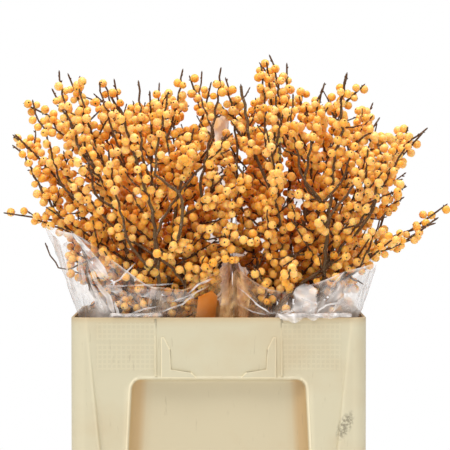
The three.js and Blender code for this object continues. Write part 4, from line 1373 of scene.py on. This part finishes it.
def across_at(heading, angle):
    """The unit vector across a direction, at an angle round it."""
    side, other = across_axes(heading)
    return side * math.cos(angle) + other * math.sin(angle)


def along(points, share):
    """The point and direction at a share of a run of points."""
    place = clamp(share, 0.0, 1.0) * (len(points) - 1)
    i = min(int(place), len(points) - 2)
    return points[i].lerp(points[i + 1], place - i), (points[i + 1] - points[i]).normalized()


def stem_of(bunch, tip, number):
    """A main stem: straight from its cut end to the neck, then fanning out to its tip."""
    middle = BUNCH_MIDDLE[bunch]
    end = Vector(tip)
    neck = Vector((middle + (end.x - middle) * NECK_SHARE, end.y * NECK_SHARE, NECK_HEIGHT))
    foot = Vector((middle + (neck.x - middle) * FOOT_SHARE, neck.y * FOOT_SHARE, BUCKET_FLOOR + FOOT_LIFT))
    bend = neck + (neck - foot).normalized() * STEM_BEND * (end - neck).length
    crown = [bowed(neck, bend, end, i / STEM_STEPS) for i in range(STEM_STEPS + 1)]
    angle = 2 * math.pi * chance(number, 1)
    for i, point in enumerate(crown[1:-1]):
        swing = -STEM_ZIGZAG if i % 2 else STEM_ZIGZAG
        point += Vector((swing * math.cos(angle), swing * math.sin(angle), 0))
    return foot, crown


def twig_of(branch, order, attempt):
    """One try at a side twig: a straight shoot that leaves the stem at an angle."""
    number = branch["number"]
    keys = (number, order, attempt)
    rank = clamp((order + TWIG_JITTER * (chance(*keys, 2) - 0.5)) / (TWIGS - 1), 0, 1)
    point, direction = along(branch["crown"], between(*TWIG_SHARES, rank))
    length = between(*TWIG_LENGTHS, rank) * between(*TWIG_VIGOUR, chance(*keys, 3))
    tilt = between(*TWIG_TILTS, rank) + TWIG_TILT_JITTER * (chance(*keys, 4) - 0.5)
    azimuth = BRANCH_TURN * number + GOLDEN_ANGLE * order + TRY_TURN * attempt
    side, other = across_axes(direction)
    heading = direction * math.cos(tilt) + side * (math.sin(tilt) * math.cos(azimuth))
    heading += other * (math.sin(tilt) * math.sin(azimuth))
    return [point, point + heading * length]


def berry_on(points, share, *keys):
    """A berry's centre beside a twig, and the direction in which it stands off."""
    point, direction = along(points, share)
    outward = across_at(direction, 2 * math.pi * chance(*keys))
    return point + outward * BERRY_OFFSET, outward


def gap_between(a, b):
    """The shortest distance between two straight pieces."""
    u, v, w = a[1] - a[0], b[1] - b[0], a[0] - b[0]
    uu, uv, vv = u.dot(u), u.dot(v), v.dot(v)
    uw, vw = u.dot(w), v.dot(w)
    spread = uu * vv - uv * uv
    s = clamp((uv * vw - vv * uw) / spread, 0, 1) if spread > 1e-9 else 0.0
    t = clamp((uv * s + vw) / vv, 0, 1) if vv > 1e-9 else 0.0
    if uu > 1e-9:
        s = clamp((uv * t - uw) / uu, 0, 1)
    return (w + u * s - v * t).length


def pieces_of(points, radius, owner):
    return [(start, end, radius, owner) for start, end in zip(points, points[1:])]


def clear_of_others(piece, placed):
    others = (other for other in placed if other[3] != piece[3])
    return all(gap_between(piece, other) > piece[2] + other[2] + CLEARANCE for other in others)


def run_clear_of_film(bunch, points, radius, clearance=FILM_CLEARANCE):
    samples = 12
    spots = (along(points, k / samples)[0] for k in range(samples + 1))
    return all(clear_of_film(bunch, spot, radius, clearance) for spot in spots)


def grow_main_wood():
    """The stems, twigs and berries that the CAD has, by the same rule and in the same order."""
    branches = []
    for half, (bunch, tips) in enumerate(TIPS.items()):
        for i, tip in enumerate(tips):
            number = half * len(tips) + i
            foot, crown = stem_of(bunch, tip, number)
            branch = {name: [] for name in ("twigs", "berries", "leaders", "fine", "buds")}
            branch.update(name=f"{bunch}_branch_{i + 1:02d}", bunch=bunch, number=number)
            branch.update(foot=foot, crown=crown)
            branches.append(branch)
    placed = []
    for branch in branches:
        placed += pieces_of([branch["foot"], *branch["crown"]], NECK_RADIUS, branch["number"])
    for order in range(TWIGS):
        for branch in branches:
            for attempt in range(TRIES):
                points = twig_of(branch, order, attempt)
                piece = pieces_of(points, TWIG_RADII[0], branch["number"])[0]
                free = run_clear_of_film(branch["bunch"], points, TWIG_RADII[0])
                if free and clear_of_others(piece, placed):
                    branch["twigs"].append((points, order))
                    placed.append(piece)
                    break
    for branch in branches:
        runs = [(branch["crown"], STEM_BERRY_SHARE, 90, 0)]
        for points, order in branch["twigs"]:
            runs += [(points, share, order, k) for k, share in enumerate(TWIG_BERRY_SHARES)]
        for points, share, run, k in runs:
            for attempt in range(TRIES):
                centre, outward = berry_on(points, share, branch["number"], run, k, attempt)
                ball = (centre, centre, BERRY_RADIUS, branch["number"])
                if clear_of_film(branch["bunch"], centre, BERRY_RADIUS) and clear_of_others(ball, placed):
                    branch["berries"].append((centre, outward, BERRY_RADIUS))
                    placed.append(ball)
                    break
    return branches


# Branches: the finer growth that only the scene has


def crown_planes(bunch):
    """The planes of the hull round a bunch's tips and the mouth that its stems come through."""
    inner, outer = FILM_INNER[bunch] + 6, FILM_LEVELS[-1][1] - 20
    half = FILM_LEVELS[-1][2] - 10
    mouth = [
        (side_of(bunch) * u, v, z)
        for u in (inner, outer) for v in (-half, half) for z in (BUCKET_HEIGHT + 2, BUCKET_HEIGHT + 26)
    ]
    tops = [(x * (LOW_TIP_PULL if z < LOW_TIP else 1.0), y, z - CROWN_DROP) for x, y, z in TIPS[bunch]]
    meets = [(7 - side_of(bunch) * over, y, z) for over, y, z in CROWN_MEETS]
    bm = bmesh.new()
    for point in [*tops, *mouth, *meets]:
        bm.verts.new(point)
    bmesh.ops.convex_hull(bm, input=bm.verts)
    middle = sum((vert.co for vert in bm.verts), Vector()) / len(bm.verts)
    planes = []
    for face in bm.faces:
        face.normal_update()
        normal, corner = face.normal.copy(), face.verts[0].co.copy()
        if normal.dot(middle - corner) > 0:
            normal.negate()
        planes.append((normal.x, normal.y, normal.z, normal.dot(corner)))
    bm.free()
    return numpy.array(planes)


def halton(index, base):
    share, result = 1.0, 0.0
    while index > 0:
        share /= base
        result += share * (index % base)
        index //= base
    return result


def wood_spots(points, owner):
    """Spots along a run of wood every few millimetres, with the run's direction there."""
    spots = []
    for start, end in zip(points, points[1:]):
        run = end - start
        steps = max(1, round(run.length / WOOD_STEP))
        heading = run.normalized()
        spots += [(*(start + run * (k / steps)), *heading, owner) for k in range(steps)]
    return spots


def bowed_twig(start, heading, target, number, index):
    """A fine twig that leaves the wood sideways and then turns up along it, with a slight zigzag."""
    way = target - start
    length = way.length
    sideways = way - heading * way.dot(heading)
    control = start + way * 0.45 + sideways.normalized() * (0.16 * length)
    steps = max(3, round(length / 9))
    swing = across_at(way.normalized(), 2 * math.pi * chance(number, index, 11))
    points = []
    for i in range(steps + 1):
        point = bowed(start, control, target, i / steps)
        if 0 < i < steps:
            point += swing * (WOOD_ZIGZAG if i % 2 else -WOOD_ZIGZAG)
        points.append(point)
    return points


def main_wood_spots(branches, bunch):
    """Spots on the stems and twigs of a bunch from which more wood may grow."""
    spots = []
    for branch in branches:
        if branch["bunch"] == bunch:
            low_end, high_end = (branch["foot"].lerp(branch["crown"][0], share) for share in LOW_TWIGS)
            spots += wood_spots([low_end, high_end], branch["number"])
            spots += wood_spots(branch["crown"], branch["number"])
            for points, _ in branch["twigs"]:
                spots += wood_spots(points, branch["number"])
    return numpy.array(spots)


def eased_run(places):
    """A smooth run through places, with the slight zigzag of the nodes."""
    ends = [places[0] * 2 - places[1], *places, places[-1] * 2 - places[-2]]
    points = []
    for before, start, end, after in zip(ends, ends[1:], ends[2:], ends[3:]):
        steps = max(1, round((end - start).length / LEADER_STEP))
        pull, push = (end - before) / 2, (after - start) / 2
        points += [eased(start, end, pull, push, k / steps) for k in range(steps)]
    points.append(places[-1].copy())
    for i, point in enumerate(points[1:-1]):
        point.x += LEADER_ZIGZAG if i % 2 else -LEADER_ZIGZAG
    return points


def lead_in(root, heading, start, way):
    """The stretch that joins a leading shoot to the wood that it springs from."""
    reach = (start - root).length
    steps = max(2, round(reach / LEADER_STEP))
    pull, push = heading * (0.6 * reach), way * (0.8 * reach)
    return [eased(root, start, pull, push, k / steps) for k in range(steps)]


def ways_from(wood, target):
    """From each spot of the wood to a target: the way, its length and how far it goes along the wood."""
    ways = target - wood[:, :3]
    lengths = numpy.sqrt((ways**2).sum(axis=1))
    return ways, lengths, (ways * wood[:, 3:6]).sum(axis=1) / lengths


def grow_leaders(branches, bunch):
    """The leading shoots, each from the best spot on the bunch's own wood."""
    wood = main_wood_spots(branches, bunch)
    for radii, bare, tip, depths, places in LEADERS[bunch]:
        last = len(places) - 1
        run = eased_run([Vector((x, between(*depths, i / last), z)) for i, (x, z) in enumerate(places)])
        way = (run[1] - run[0]).normalized()
        ways, lengths, turn = ways_from(wood, numpy.array(run[0]))
        onward = (ways @ numpy.array(way)) / lengths
        fits = (lengths > 14) & (turn > 0.3) & (onward > 0.4)
        cost = numpy.where(fits, lengths * (3.4 - turn - 1.8 * onward), 1e9 - 1e6 * (turn + onward))
        for pick in cost.argsort()[:40]:
            best = wood[int(pick)]
            joint = lead_in(Vector(best[:3]), Vector(best[3:6]), run[0], way)
            if run_clear_of_film(bunch, joint + run[:1], radii[0], 1.0):
                break
        branches[int(best[6])]["leaders"].append(
            {"points": joint + run, "radii": radii, "joint": len(joint), "bare": bare, "tip": tip}
        )


def before_top_fold(centre, radius):
    """Whether a berry or a twig's point stands in the crown's opening before the film's highest fold."""
    if centre.y > FILM_TOP_FOLD["y"]:
        return False
    eye = Vector(EYE)
    seen = eye + (centre - eye) * ((FILM_TOP_FOLD["y"] - eye.y) / (centre.y - eye.y))
    (x, z), (half_x, half_z) = CROWN_OPENING
    return math.hypot((seen.x - x) / (half_x + 0.6 * radius), (seen.z - z) / (half_z + 0.6 * radius)) < 1


def grow_fine_twigs(branches, bunch, spread):
    """Fill the bunch's hull: where no wood is near, a twig grows to there from the best place."""
    planes = crown_planes(bunch)
    spots = [main_wood_spots(branches, bunch)]
    for branch in branches:
        if branch["bunch"] == bunch:
            runs = [leader["points"] for leader in branch["leaders"]]
            spots += [numpy.array(wood_spots(points, branch["number"])) for points in runs]
    wood = numpy.vstack(spots)
    tips = [x for x, _, _ in TIPS[bunch]]
    low_x, high_x = (min(tips) - 6, 20.0) if bunch == "left" else (-6.0, max(tips) + 6)
    core = numpy.array((BUNCH_MIDDLE[bunch], 0, BUCKET_HEIGHT - 60))
    for run in FINE_PASSES:
        low = numpy.array([low_x, -132.0, run["z"][0]])
        high = numpy.array([high_x, 122.0, run["z"][1]])
        for index in range(run["tries"]):
            share = numpy.array([halton(index + 20, base) for base in (2, 3, 5)])
            target = low + (high - low) * share
            if (planes[:, :3] @ target - planes[:, 3]).max() > run["margin"]:
                continue
            if not clear_of_film(bunch, Vector(target), BERRY_RADIUS, 2.0):
                continue
            ways, lengths, turn = ways_from(wood, target)
            if lengths.min() < spread * run["gap"]:
                continue
            away = (target - core) / numpy.linalg.norm(target - core)
            outwards = (ways @ away) / lengths
            fits = (lengths > run["reach"]) & (lengths < FINE_REACH)
            fits &= (turn > run["turn"]) & (outwards > run["turn"])
            if not fits.any():
                continue
            cost = numpy.where(fits, lengths * (1.5 - turn), 1e9)
            for pick in cost.argsort()[: min(ROOT_TRIES, int(fits.sum()))]:
                best = wood[int(pick)]
                number = int(best[6])
                points = bowed_twig(Vector(best[:3]), Vector(best[3:6]), Vector(target), number, index)
                in_opening = any(before_top_fold(point, 0.0) for point in points)
                if not in_opening:
                    break
            if in_opening or not run_clear_of_film(bunch, points, FINE_RADII[0], FINE_CLEARANCE):
                continue
            branches[number]["fine"].append(points)
            wood = numpy.vstack([wood, numpy.array(wood_spots(points, number))])


class BerryRoom:
    """Keeps berries from standing in one another, by cells as wide as a berry."""

    def __init__(self, shown):
        self.cells = {}
        self.starts = numpy.array([start[:] for start, _, _, _ in shown])
        self.ways = numpy.array([(end - start)[:] for start, end, _, _ in shown])
        self.radii = numpy.array([radius for _, _, radius, _ in shown])

    def key(self, centre):
        return tuple(int(c // CELL) for c in centre)

    def take(self, centre, radius):
        self.cells.setdefault(self.key(centre), []).append((centre, radius))

    def hides(self, centre, radius):
        """Whether a berry would stand in front of a leading shoot."""
        across = numpy.array(centre) - self.starts
        flat = self.ways[:, (0, 2)]
        t = ((across[:, (0, 2)] * flat).sum(axis=1) / (flat**2).sum(axis=1)).clip(0, 1)
        off = across - self.ways * t[:, None]
        near = numpy.hypot(off[:, 0], off[:, 2]) < LEADER_SHOWS * radius + self.radii
        return bool((near & (off[:, 1] < 0)).any())

    def free(self, centre, radius):
        cells = product(*((c - 1, c, c + 1) for c in self.key(centre)))
        near = (berry for cell in cells for berry in self.cells.get(cell, ()))
        return all((other - centre).length >= BERRY_CROWDING * (radius + size) for other, size in near)


def dress_run(branch, points, run, room, spacing, bare, start=6.0, may_hide=False):
    """Berries at the nodes along a run of wood, one to three at each, and buds on its bare tip."""
    number = branch["number"]
    lengths = [(b - a).length for a, b in zip(points, points[1:])]
    total = sum(lengths)
    place = start + spacing * 0.5 * chance(number, run, 21)
    node = 0
    while place < total:
        node += 1
        keys = (number, run, node)
        left = place
        for i, length in enumerate(lengths):
            if left <= length:
                break
            left -= length
        point = points[i].lerp(points[i + 1], min(1.0, left / lengths[i]))
        heading = (points[i + 1] - points[i]).normalized()
        bearing = GOLDEN_ANGLE * node + 2 * math.pi * chance(number, run, 22)
        if place > total - bare:
            outward = across_at(heading, bearing)
            branch["buds"].append((point + outward * 0.6, (outward + heading * 1.2).normalized()))
            place += 0.7 * spacing
            continue
        draw = chance(*keys, 23)
        count = 1 + (draw > ONE_BERRY) + (draw > TWO_BERRIES)
        for k in range(count):
            for attempt in range(3):
                radius = BERRY_RADIUS * between(*BERRY_SIZES, chance(*keys, 24 + k))
                stand = radius + between(*BERRY_STAND, chance(*keys, 30 + k, attempt))
                outward = across_at(heading, bearing + 2.2 * k + 1.0 * attempt)
                lean = between(*BERRY_LEAN, chance(*keys, 40 + k, attempt))
                outward = (outward + heading * lean).normalized()
                centre = point + outward * stand
                if not may_hide and room.hides(centre, radius) or before_top_fold(centre, radius):
                    continue
                if clear_of_film(branch["bunch"], centre, radius, 1.0) and room.free(centre, radius):
                    room.take(centre, radius)
                    branch["berries"].append((centre, outward, radius))
                    break
        place += spacing * between(*NODE_JITTER, chance(*keys, 50))
    branch["buds"].append((points[-1], (points[-1] - points[-2]).normalized()))


def dress_branches(branches, settings):
    """Every berry and bud of both bunches."""
    shown = []
    for branch in branches:
        for leader in branch["leaders"]:
            shown += pieces_of(leader["points"][leader["joint"] :], leader["radii"][0], branch["number"])
    room = BerryRoom(shown)
    spacing = settings.node_spacing / MILLIMETRE
    for branch in branches:
        for centre, _, radius in branch["berries"]:
            room.take(centre, radius)
    for branch in branches:
        for k, leader in enumerate(branch["leaders"]):
            points, joint = leader["points"], leader["joint"]
            lengths = [(b - a).length for a, b in zip(points, points[1:])]
            start = sum(lengths[:joint]) + leader["bare"] * sum(lengths[joint:])
            dress_run(branch, points, 600 + k, room, spacing, leader["tip"], start, may_hide=True)
    for branch in branches:
        crown = branch["crown"]
        # The branches that hang low, and the twigs that droop, carry few berries.
        sparse = 3.0 if crown[-1].z < LOW_TIP else 1.0
        dress_run(branch, crown, 900, room, spacing * sparse, 14.0, start=24.0)
        for points, order in branch["twigs"]:
            drooping = (points[-1] - points[0]).normalized().z < 0.25
            wider = max(sparse, 2.2 if drooping else 1.0)
            dress_run(branch, points, 700 + order, room, spacing * wider, 4.0)
        for k, points in enumerate(branch["fine"]):
            bare = between(*BARE_TIP, chance(branch["number"], 800 + k, 5)) if k % 3 == 0 else 3.0
            dress_run(branch, points, 100 + k, room, spacing, bare)


def lathe(profile, sides, parts, name):
    """A small closed body turned about Z, as points of radius and height from its lower pole."""
    bm = bmesh.new()
    part_layer = bm.faces.layers.int.new("part")
    rings = []
    for radius, height in profile:
        if radius == 0:
            rings.append([bm.verts.new((0, 0, height))])
            continue
        angles = [2 * math.pi * k / sides for k in range(sides)]
        rings.append([bm.verts.new((radius * math.cos(a), radius * math.sin(a), height)) for a in angles])
    for (low, high), part in zip(zip(rings, rings[1:]), parts):
        for k in range(sides):
            after = (k + 1) % sides
            places = ((low, k), (low, after), (high, after), (high, k))
            face = bm.faces.new(list(dict.fromkeys(ring[i % len(ring)] for ring, i in places)))
            face[part_layer] = part
    bmesh.ops.recalc_face_normals(bm, faces=bm.faces)
    return object_of(name, bm, sharp_angle=180, scale=1.0)


def berry_template():
    """A berry of radius 1 on its short stalk, with the dried calyx sunk in its far end."""
    profile = [
        (0, -1.34), (0.13, -1.3), (0.1, -0.97), (0.52, -0.85), (0.93, -0.36), (0.97, 0.24),
        (0.7, 0.71), (0.2, 0.97), (0.14, 0.88), (0, 0.86),
    ]
    parts = [1, 1, 0, 0, 0, 0, 0, 1, 1]
    return lathe(profile, 8, parts, "berry_form")


def bud_template():
    """A plump winter bud, 2.4 mm long."""
    profile = [(0, -0.6), (0.75, 0.3), (0.55, 1.3), (0, 2.4)]
    return lathe(profile, 4, [1, 1, 1], "bud_form")


def branch_tree():
    """Geometry Nodes: wood swept along its lines, and berries and buds set on their points."""
    sockets = {
        "Growth": "Geometry", "Berry": "Object", "Bud": "Object", "Berry size": "Float",
        "Bud size": "Float", "Wood sides": "Int", "Skin": "Material", "Calyx": "Material",
        "Bark": "Material",
    }
    tree = new_tree("berried_branch", sockets, "Branch")
    add = partial(add_node, tree)
    given = add("NodeGroupInput").outputs

    def read(name, kind="FLOAT"):
        return add("GeometryNodeInputNamedAttribute", {"Name": name}, data_type=kind)

    def equals(name, value):
        return add(
            "FunctionNodeCompare", {2: read(name, "INT"), 3: value}, data_type="INT", operation="EQUAL"
        )

    wood = add("GeometryNodeSeparateGeometry", {"Geometry": given["Growth"], "Selection": equals("kind", 0)})
    line = add("GeometryNodeMeshToCurve", {"Mesh": wood})
    circle = add("GeometryNodeCurvePrimitiveCircle", {"Resolution": given["Wood sides"], "Radius": 1.0})
    swept = add(
        "GeometryNodeCurveToMesh",
        {"Curve": line, "Profile Curve": circle, "Scale": read("thick"), "Fill Caps": True},
    )
    barked = add(
        "GeometryNodeStoreNamedAttribute",
        {"Geometry": swept, "Name": "part", "Value": 2}, data_type="INT", domain="FACE",
    )

    def set_on_points(kind, source, size):
        form = add("GeometryNodeObjectInfo", {"Object": given[source]})
        turned = add(
            "FunctionNodeAlignRotationToVector", {"Vector": read("outward", "FLOAT_VECTOR")}, axis="Z"
        )
        scale = add("ShaderNodeMath", {0: read("size"), 1: given[size]}, operation="MULTIPLY")
        return add(
            "GeometryNodeInstanceOnPoints",
            {
                "Points": given["Growth"], "Selection": equals("kind", kind),
                "Instance": form.outputs["Geometry"], "Rotation": turned, "Scale": scale,
            },
        )

    joined = add("GeometryNodeJoinGeometry")
    for part in (barked, set_on_points(1, "Berry", "Berry size"), set_on_points(2, "Bud", "Bud size")):
        plug(joined, {0: part})
    result = add("GeometryNodeRealizeInstances", {"Geometry": joined})
    result = add("GeometryNodeSetShadeSmooth", {"Geometry": result})
    for part, name in enumerate(("Skin", "Calyx", "Bark")):
        chosen = {"Geometry": result, "Selection": equals("part", part), "Material": given[name]}
        result = add("GeometryNodeSetMaterial", chosen)
    add("NodeGroupOutput", {0: result})
    return tree


def growth_mesh(branch):
    """The branch as lines of wood and loose points for its berries and buds."""
    points, edges, outwards = [], [], []
    values = {"kind": [], "thick": [], "size": [], "tone_and_shade": []}

    def add(point, kind, thick=0.0, size=0.0, outward=(0, 0, 1), tone_and_shade=0.0):
        points.append(point * MILLIMETRE)
        outwards.extend(outward)
        for row, value in zip(values.values(), (kind, thick * MILLIMETRE, size, tone_and_shade)):
            row.append(value)

    def add_wood(run, radii):
        first = len(points)
        for i, point in enumerate(run):
            add(point, 0, between(*radii, i / (len(run) - 1)))
        edges.extend((first + i, first + i + 1) for i in range(len(run) - 1))

    crown = branch["crown"]
    add_wood([branch["foot"].lerp(crown[0], k / 12) for k in range(13)], (FOOT_RADIUS, NECK_RADIUS))
    add_wood(crown, (NECK_RADIUS, TIP_RADIUS))
    for run, _ in branch["twigs"]:
        add_wood([run[0].lerp(run[1], k / 8) for k in range(9)], TWIG_RADII)
    for leader in branch["leaders"]:
        add_wood(leader["points"], leader["radii"])
    for run in branch["fine"]:
        add_wood(run, FINE_RADII)
    middle = Vector((BUNCH_MIDDLE[branch["bunch"]], 0, 440))
    for k, (centre, outward, radius) in enumerate(branch["berries"]):
        away = centre - middle
        # Berries deep inside the bunch are painted deeper, as shade.
        inside = 1 - min(1.0, Vector((away.x / 120, away.y / 95, away.z / 130)).length)
        tone_and_shade = 0.85 * chance(branch["number"], k, 61) + INSIDE_SHADE * inside
        add(centre, 1, size=radius / BERRY_RADIUS, outward=outward, tone_and_shade=tone_and_shade)
    for k, (point, outward) in enumerate(branch["buds"]):
        size = between(*BUD_SIZES, chance(branch["number"], k, 62))
        add(point, 2, thick=1.0, size=size, outward=outward)
    mesh = bpy.data.meshes.new("growth")
    mesh.from_pydata(points, edges, [])
    for name, row in values.items():
        attribute = mesh.attributes.new(name, "INT" if name == "kind" else "FLOAT", "POINT")
        attribute.data.foreach_set("value", row)
    mesh.attributes.new("outward", "FLOAT_VECTOR", "POINT").data.foreach_set("vector", outwards)
    return mesh


# Operators


class WINTERBERRY_OT_stage(bpy.types.Operator):
    """Put down the studio floor, hang the soft lights and set the camera"""

    bl_idname = "winterberry.stage"
    bl_label = "Stage and camera"

    def execute(self, context):
        settings = context.scene.winterberry_stage
        scene = context.scene
        camera_data = bpy.data.cameras.new("camera")
        camera_data.sensor_width = SENSOR
        camera_data.lens = LENS
        camera = new_object("camera", camera_data)
        front = BUCKET_DEPTH / 2 * MILLIMETRE
        camera.location = (CAMERA_ACROSS, -front - settings.distance, settings.height)
        camera.rotation_euler = Euler((math.radians(90 - CAMERA_TILT), 0, 0))
        scene.camera = camera

        bm = bmesh.new()
        bmesh.ops.create_circle(bm, cap_ends=True, segments=96, radius=1500)
        object_of("studio_floor", bm, studio_floor(settings))

        world = bpy.data.worlds.new("soft_white_room")
        scene.world = world
        world.use_nodes = True
        tree = world.node_tree
        # The backdrop looks white, and lights the branches less than it looks.
        seen = add_node(tree, "ShaderNodeLightPath").outputs["Is Camera Ray"]
        strength = add_node(tree, "ShaderNodeMapRange", {0: seen, 3: settings.room_light, 4: 1.0})
        plug(tree.nodes["Background"], {"Color": (1.0, 1.0, 1.0, 1.0), "Strength": strength})
        scene.view_settings.view_transform = "Standard"

        for name, place, size, power in LAMPS:
            lamp = bpy.data.lights.new(name, "AREA")
            lamp.size = size
            lamp.energy = power
            holder = new_object(name, lamp)
            holder.location = place
            holder.rotation_euler = (LAMP_AIM - Vector(place)).to_track_quat("-Z", "Y").to_euler()
        return {"FINISHED"}


class WINTERBERRY_OT_bucket(bpy.types.Operator):
    """Mould the flower bucket with its bays, card holders and grip grids"""

    bl_idname = "winterberry.bucket"
    bl_label = "Flower bucket"

    def execute(self, context):
        settings = context.scene.winterberry_bucket
        material = polypropylene(settings)
        for piece in (bucket_shell(material), card_holders(material), *grip_grids(settings, material)):
            hold(piece, "bucket_plastic", "bucket")
        return {"FINISHED"}


class WINTERBERRY_OT_water_and_card(bpy.types.Operator):
    """Finish the water on the bucket's floor and the plain card between the bunches"""

    bl_idname = "winterberry.water_and_card"
    bl_label = "Water and card"

    def execute(self, context):
        for node, material in (("water", standing_water()), ("orange_card", coloured_board())):
            piece = bpy.data.objects[node]
            for slot in piece.material_slots:
                slot.material = material
        return {"FINISHED"}


class WINTERBERRY_OT_sleeves(bpy.types.Operator):
    """Wrap each bunch in its crumpled film sleeve"""

    bl_idname = "winterberry.sleeves"
    bl_label = "Film sleeves"

    def execute(self, context):
        settings = context.scene.winterberry_film
        material = clear_film(settings)
        for bunch in TIPS:
            sleeve = film_sleeve(bunch, settings, material)
            hold(sleeve, "sleeve_film", f"sleeve_{bunch}")
            cut_area(bunch)
        return {"FINISHED"}


class WINTERBERRY_OT_branches(bpy.types.Operator):
    """Grow the twigs, berries and buds of all the branches"""

    bl_idname = "winterberry.branches"
    bl_label = "Berried branches"

    def execute(self, context):
        settings = context.scene.winterberry_bunch
        branches = grow_main_wood()
        for bunch in TIPS:
            grow_leaders(branches, bunch)
            grow_fine_twigs(branches, bunch, settings.spread / MILLIMETRE)
        dress_branches(branches, settings)
        tree = branch_tree()
        berry, bud = berry_template(), bud_template()
        inputs = {
            "Berry": berry, "Bud": bud, "Wood sides": 6,
            "Berry size": BERRY_RADIUS * MILLIMETRE, "Bud size": 1.1 * MILLIMETRE,
            "Skin": berry_skin(settings), "Calyx": dried_calyx(settings), "Bark": winter_bark(settings),
        }
        for branch in branches:
            piece = made_by_nodes(f"{branch['name']}_dressed", growth_mesh(branch), tree, inputs)
            hold(piece, "berried_branch", branch["name"])
        bpy.data.objects.remove(berry)
        bpy.data.objects.remove(bud)
        return {"FINISHED"}


class WINTERBERRY_PT_panel(bpy.types.Panel):
    """Lists the pieces of the bucket of winterberry"""

    bl_idname = "WINTERBERRY_PT_panel"
    bl_label = "Winterberry bucket"
    bl_space_type = "VIEW_3D"
    bl_region_type = "UI"
    bl_category = "Winterberry"

    def draw(self, context):
        for operator, group, _ in PARTS:
            self.layout.operator(operator.bl_idname)
            if group:
                settings = getattr(context.scene, group)
                for name in settings.bl_rna.properties.keys():
                    if name not in ("rna_type", "name"):
                        self.layout.prop(settings, name)


PARTS = [
    (WINTERBERRY_OT_stage, "winterberry_stage", StageSettings),
    (WINTERBERRY_OT_bucket, "winterberry_bucket", BucketSettings),
    (WINTERBERRY_OT_water_and_card, "", None),
    (WINTERBERRY_OT_sleeves, "winterberry_film", FilmSettings),
    (WINTERBERRY_OT_branches, "winterberry_bunch", BunchSettings),
]


def register():
    for operator, name, group in PARTS:
        bpy.utils.register_class(operator)
        if group:
            bpy.utils.register_class(group)
            setattr(bpy.types.Scene, name, bpy.props.PointerProperty(type=group))
    bpy.utils.register_class(WINTERBERRY_PT_panel)


def unregister():
    bpy.utils.unregister_class(WINTERBERRY_PT_panel)
    for operator, name, group in reversed(PARTS):
        bpy.utils.unregister_class(operator)
        if group:
            delattr(bpy.types.Scene, name)
            bpy.utils.unregister_class(group)


def main():
    register()
    for call in (
        bpy.ops.winterberry.stage, bpy.ops.winterberry.bucket, bpy.ops.winterberry.water_and_card,
        bpy.ops.winterberry.sleeves, bpy.ops.winterberry.branches,
    ):
        if call() != {"FINISHED"}:
            raise RuntimeError("a piece could not be made")


if __name__ == "__main__":
    main()
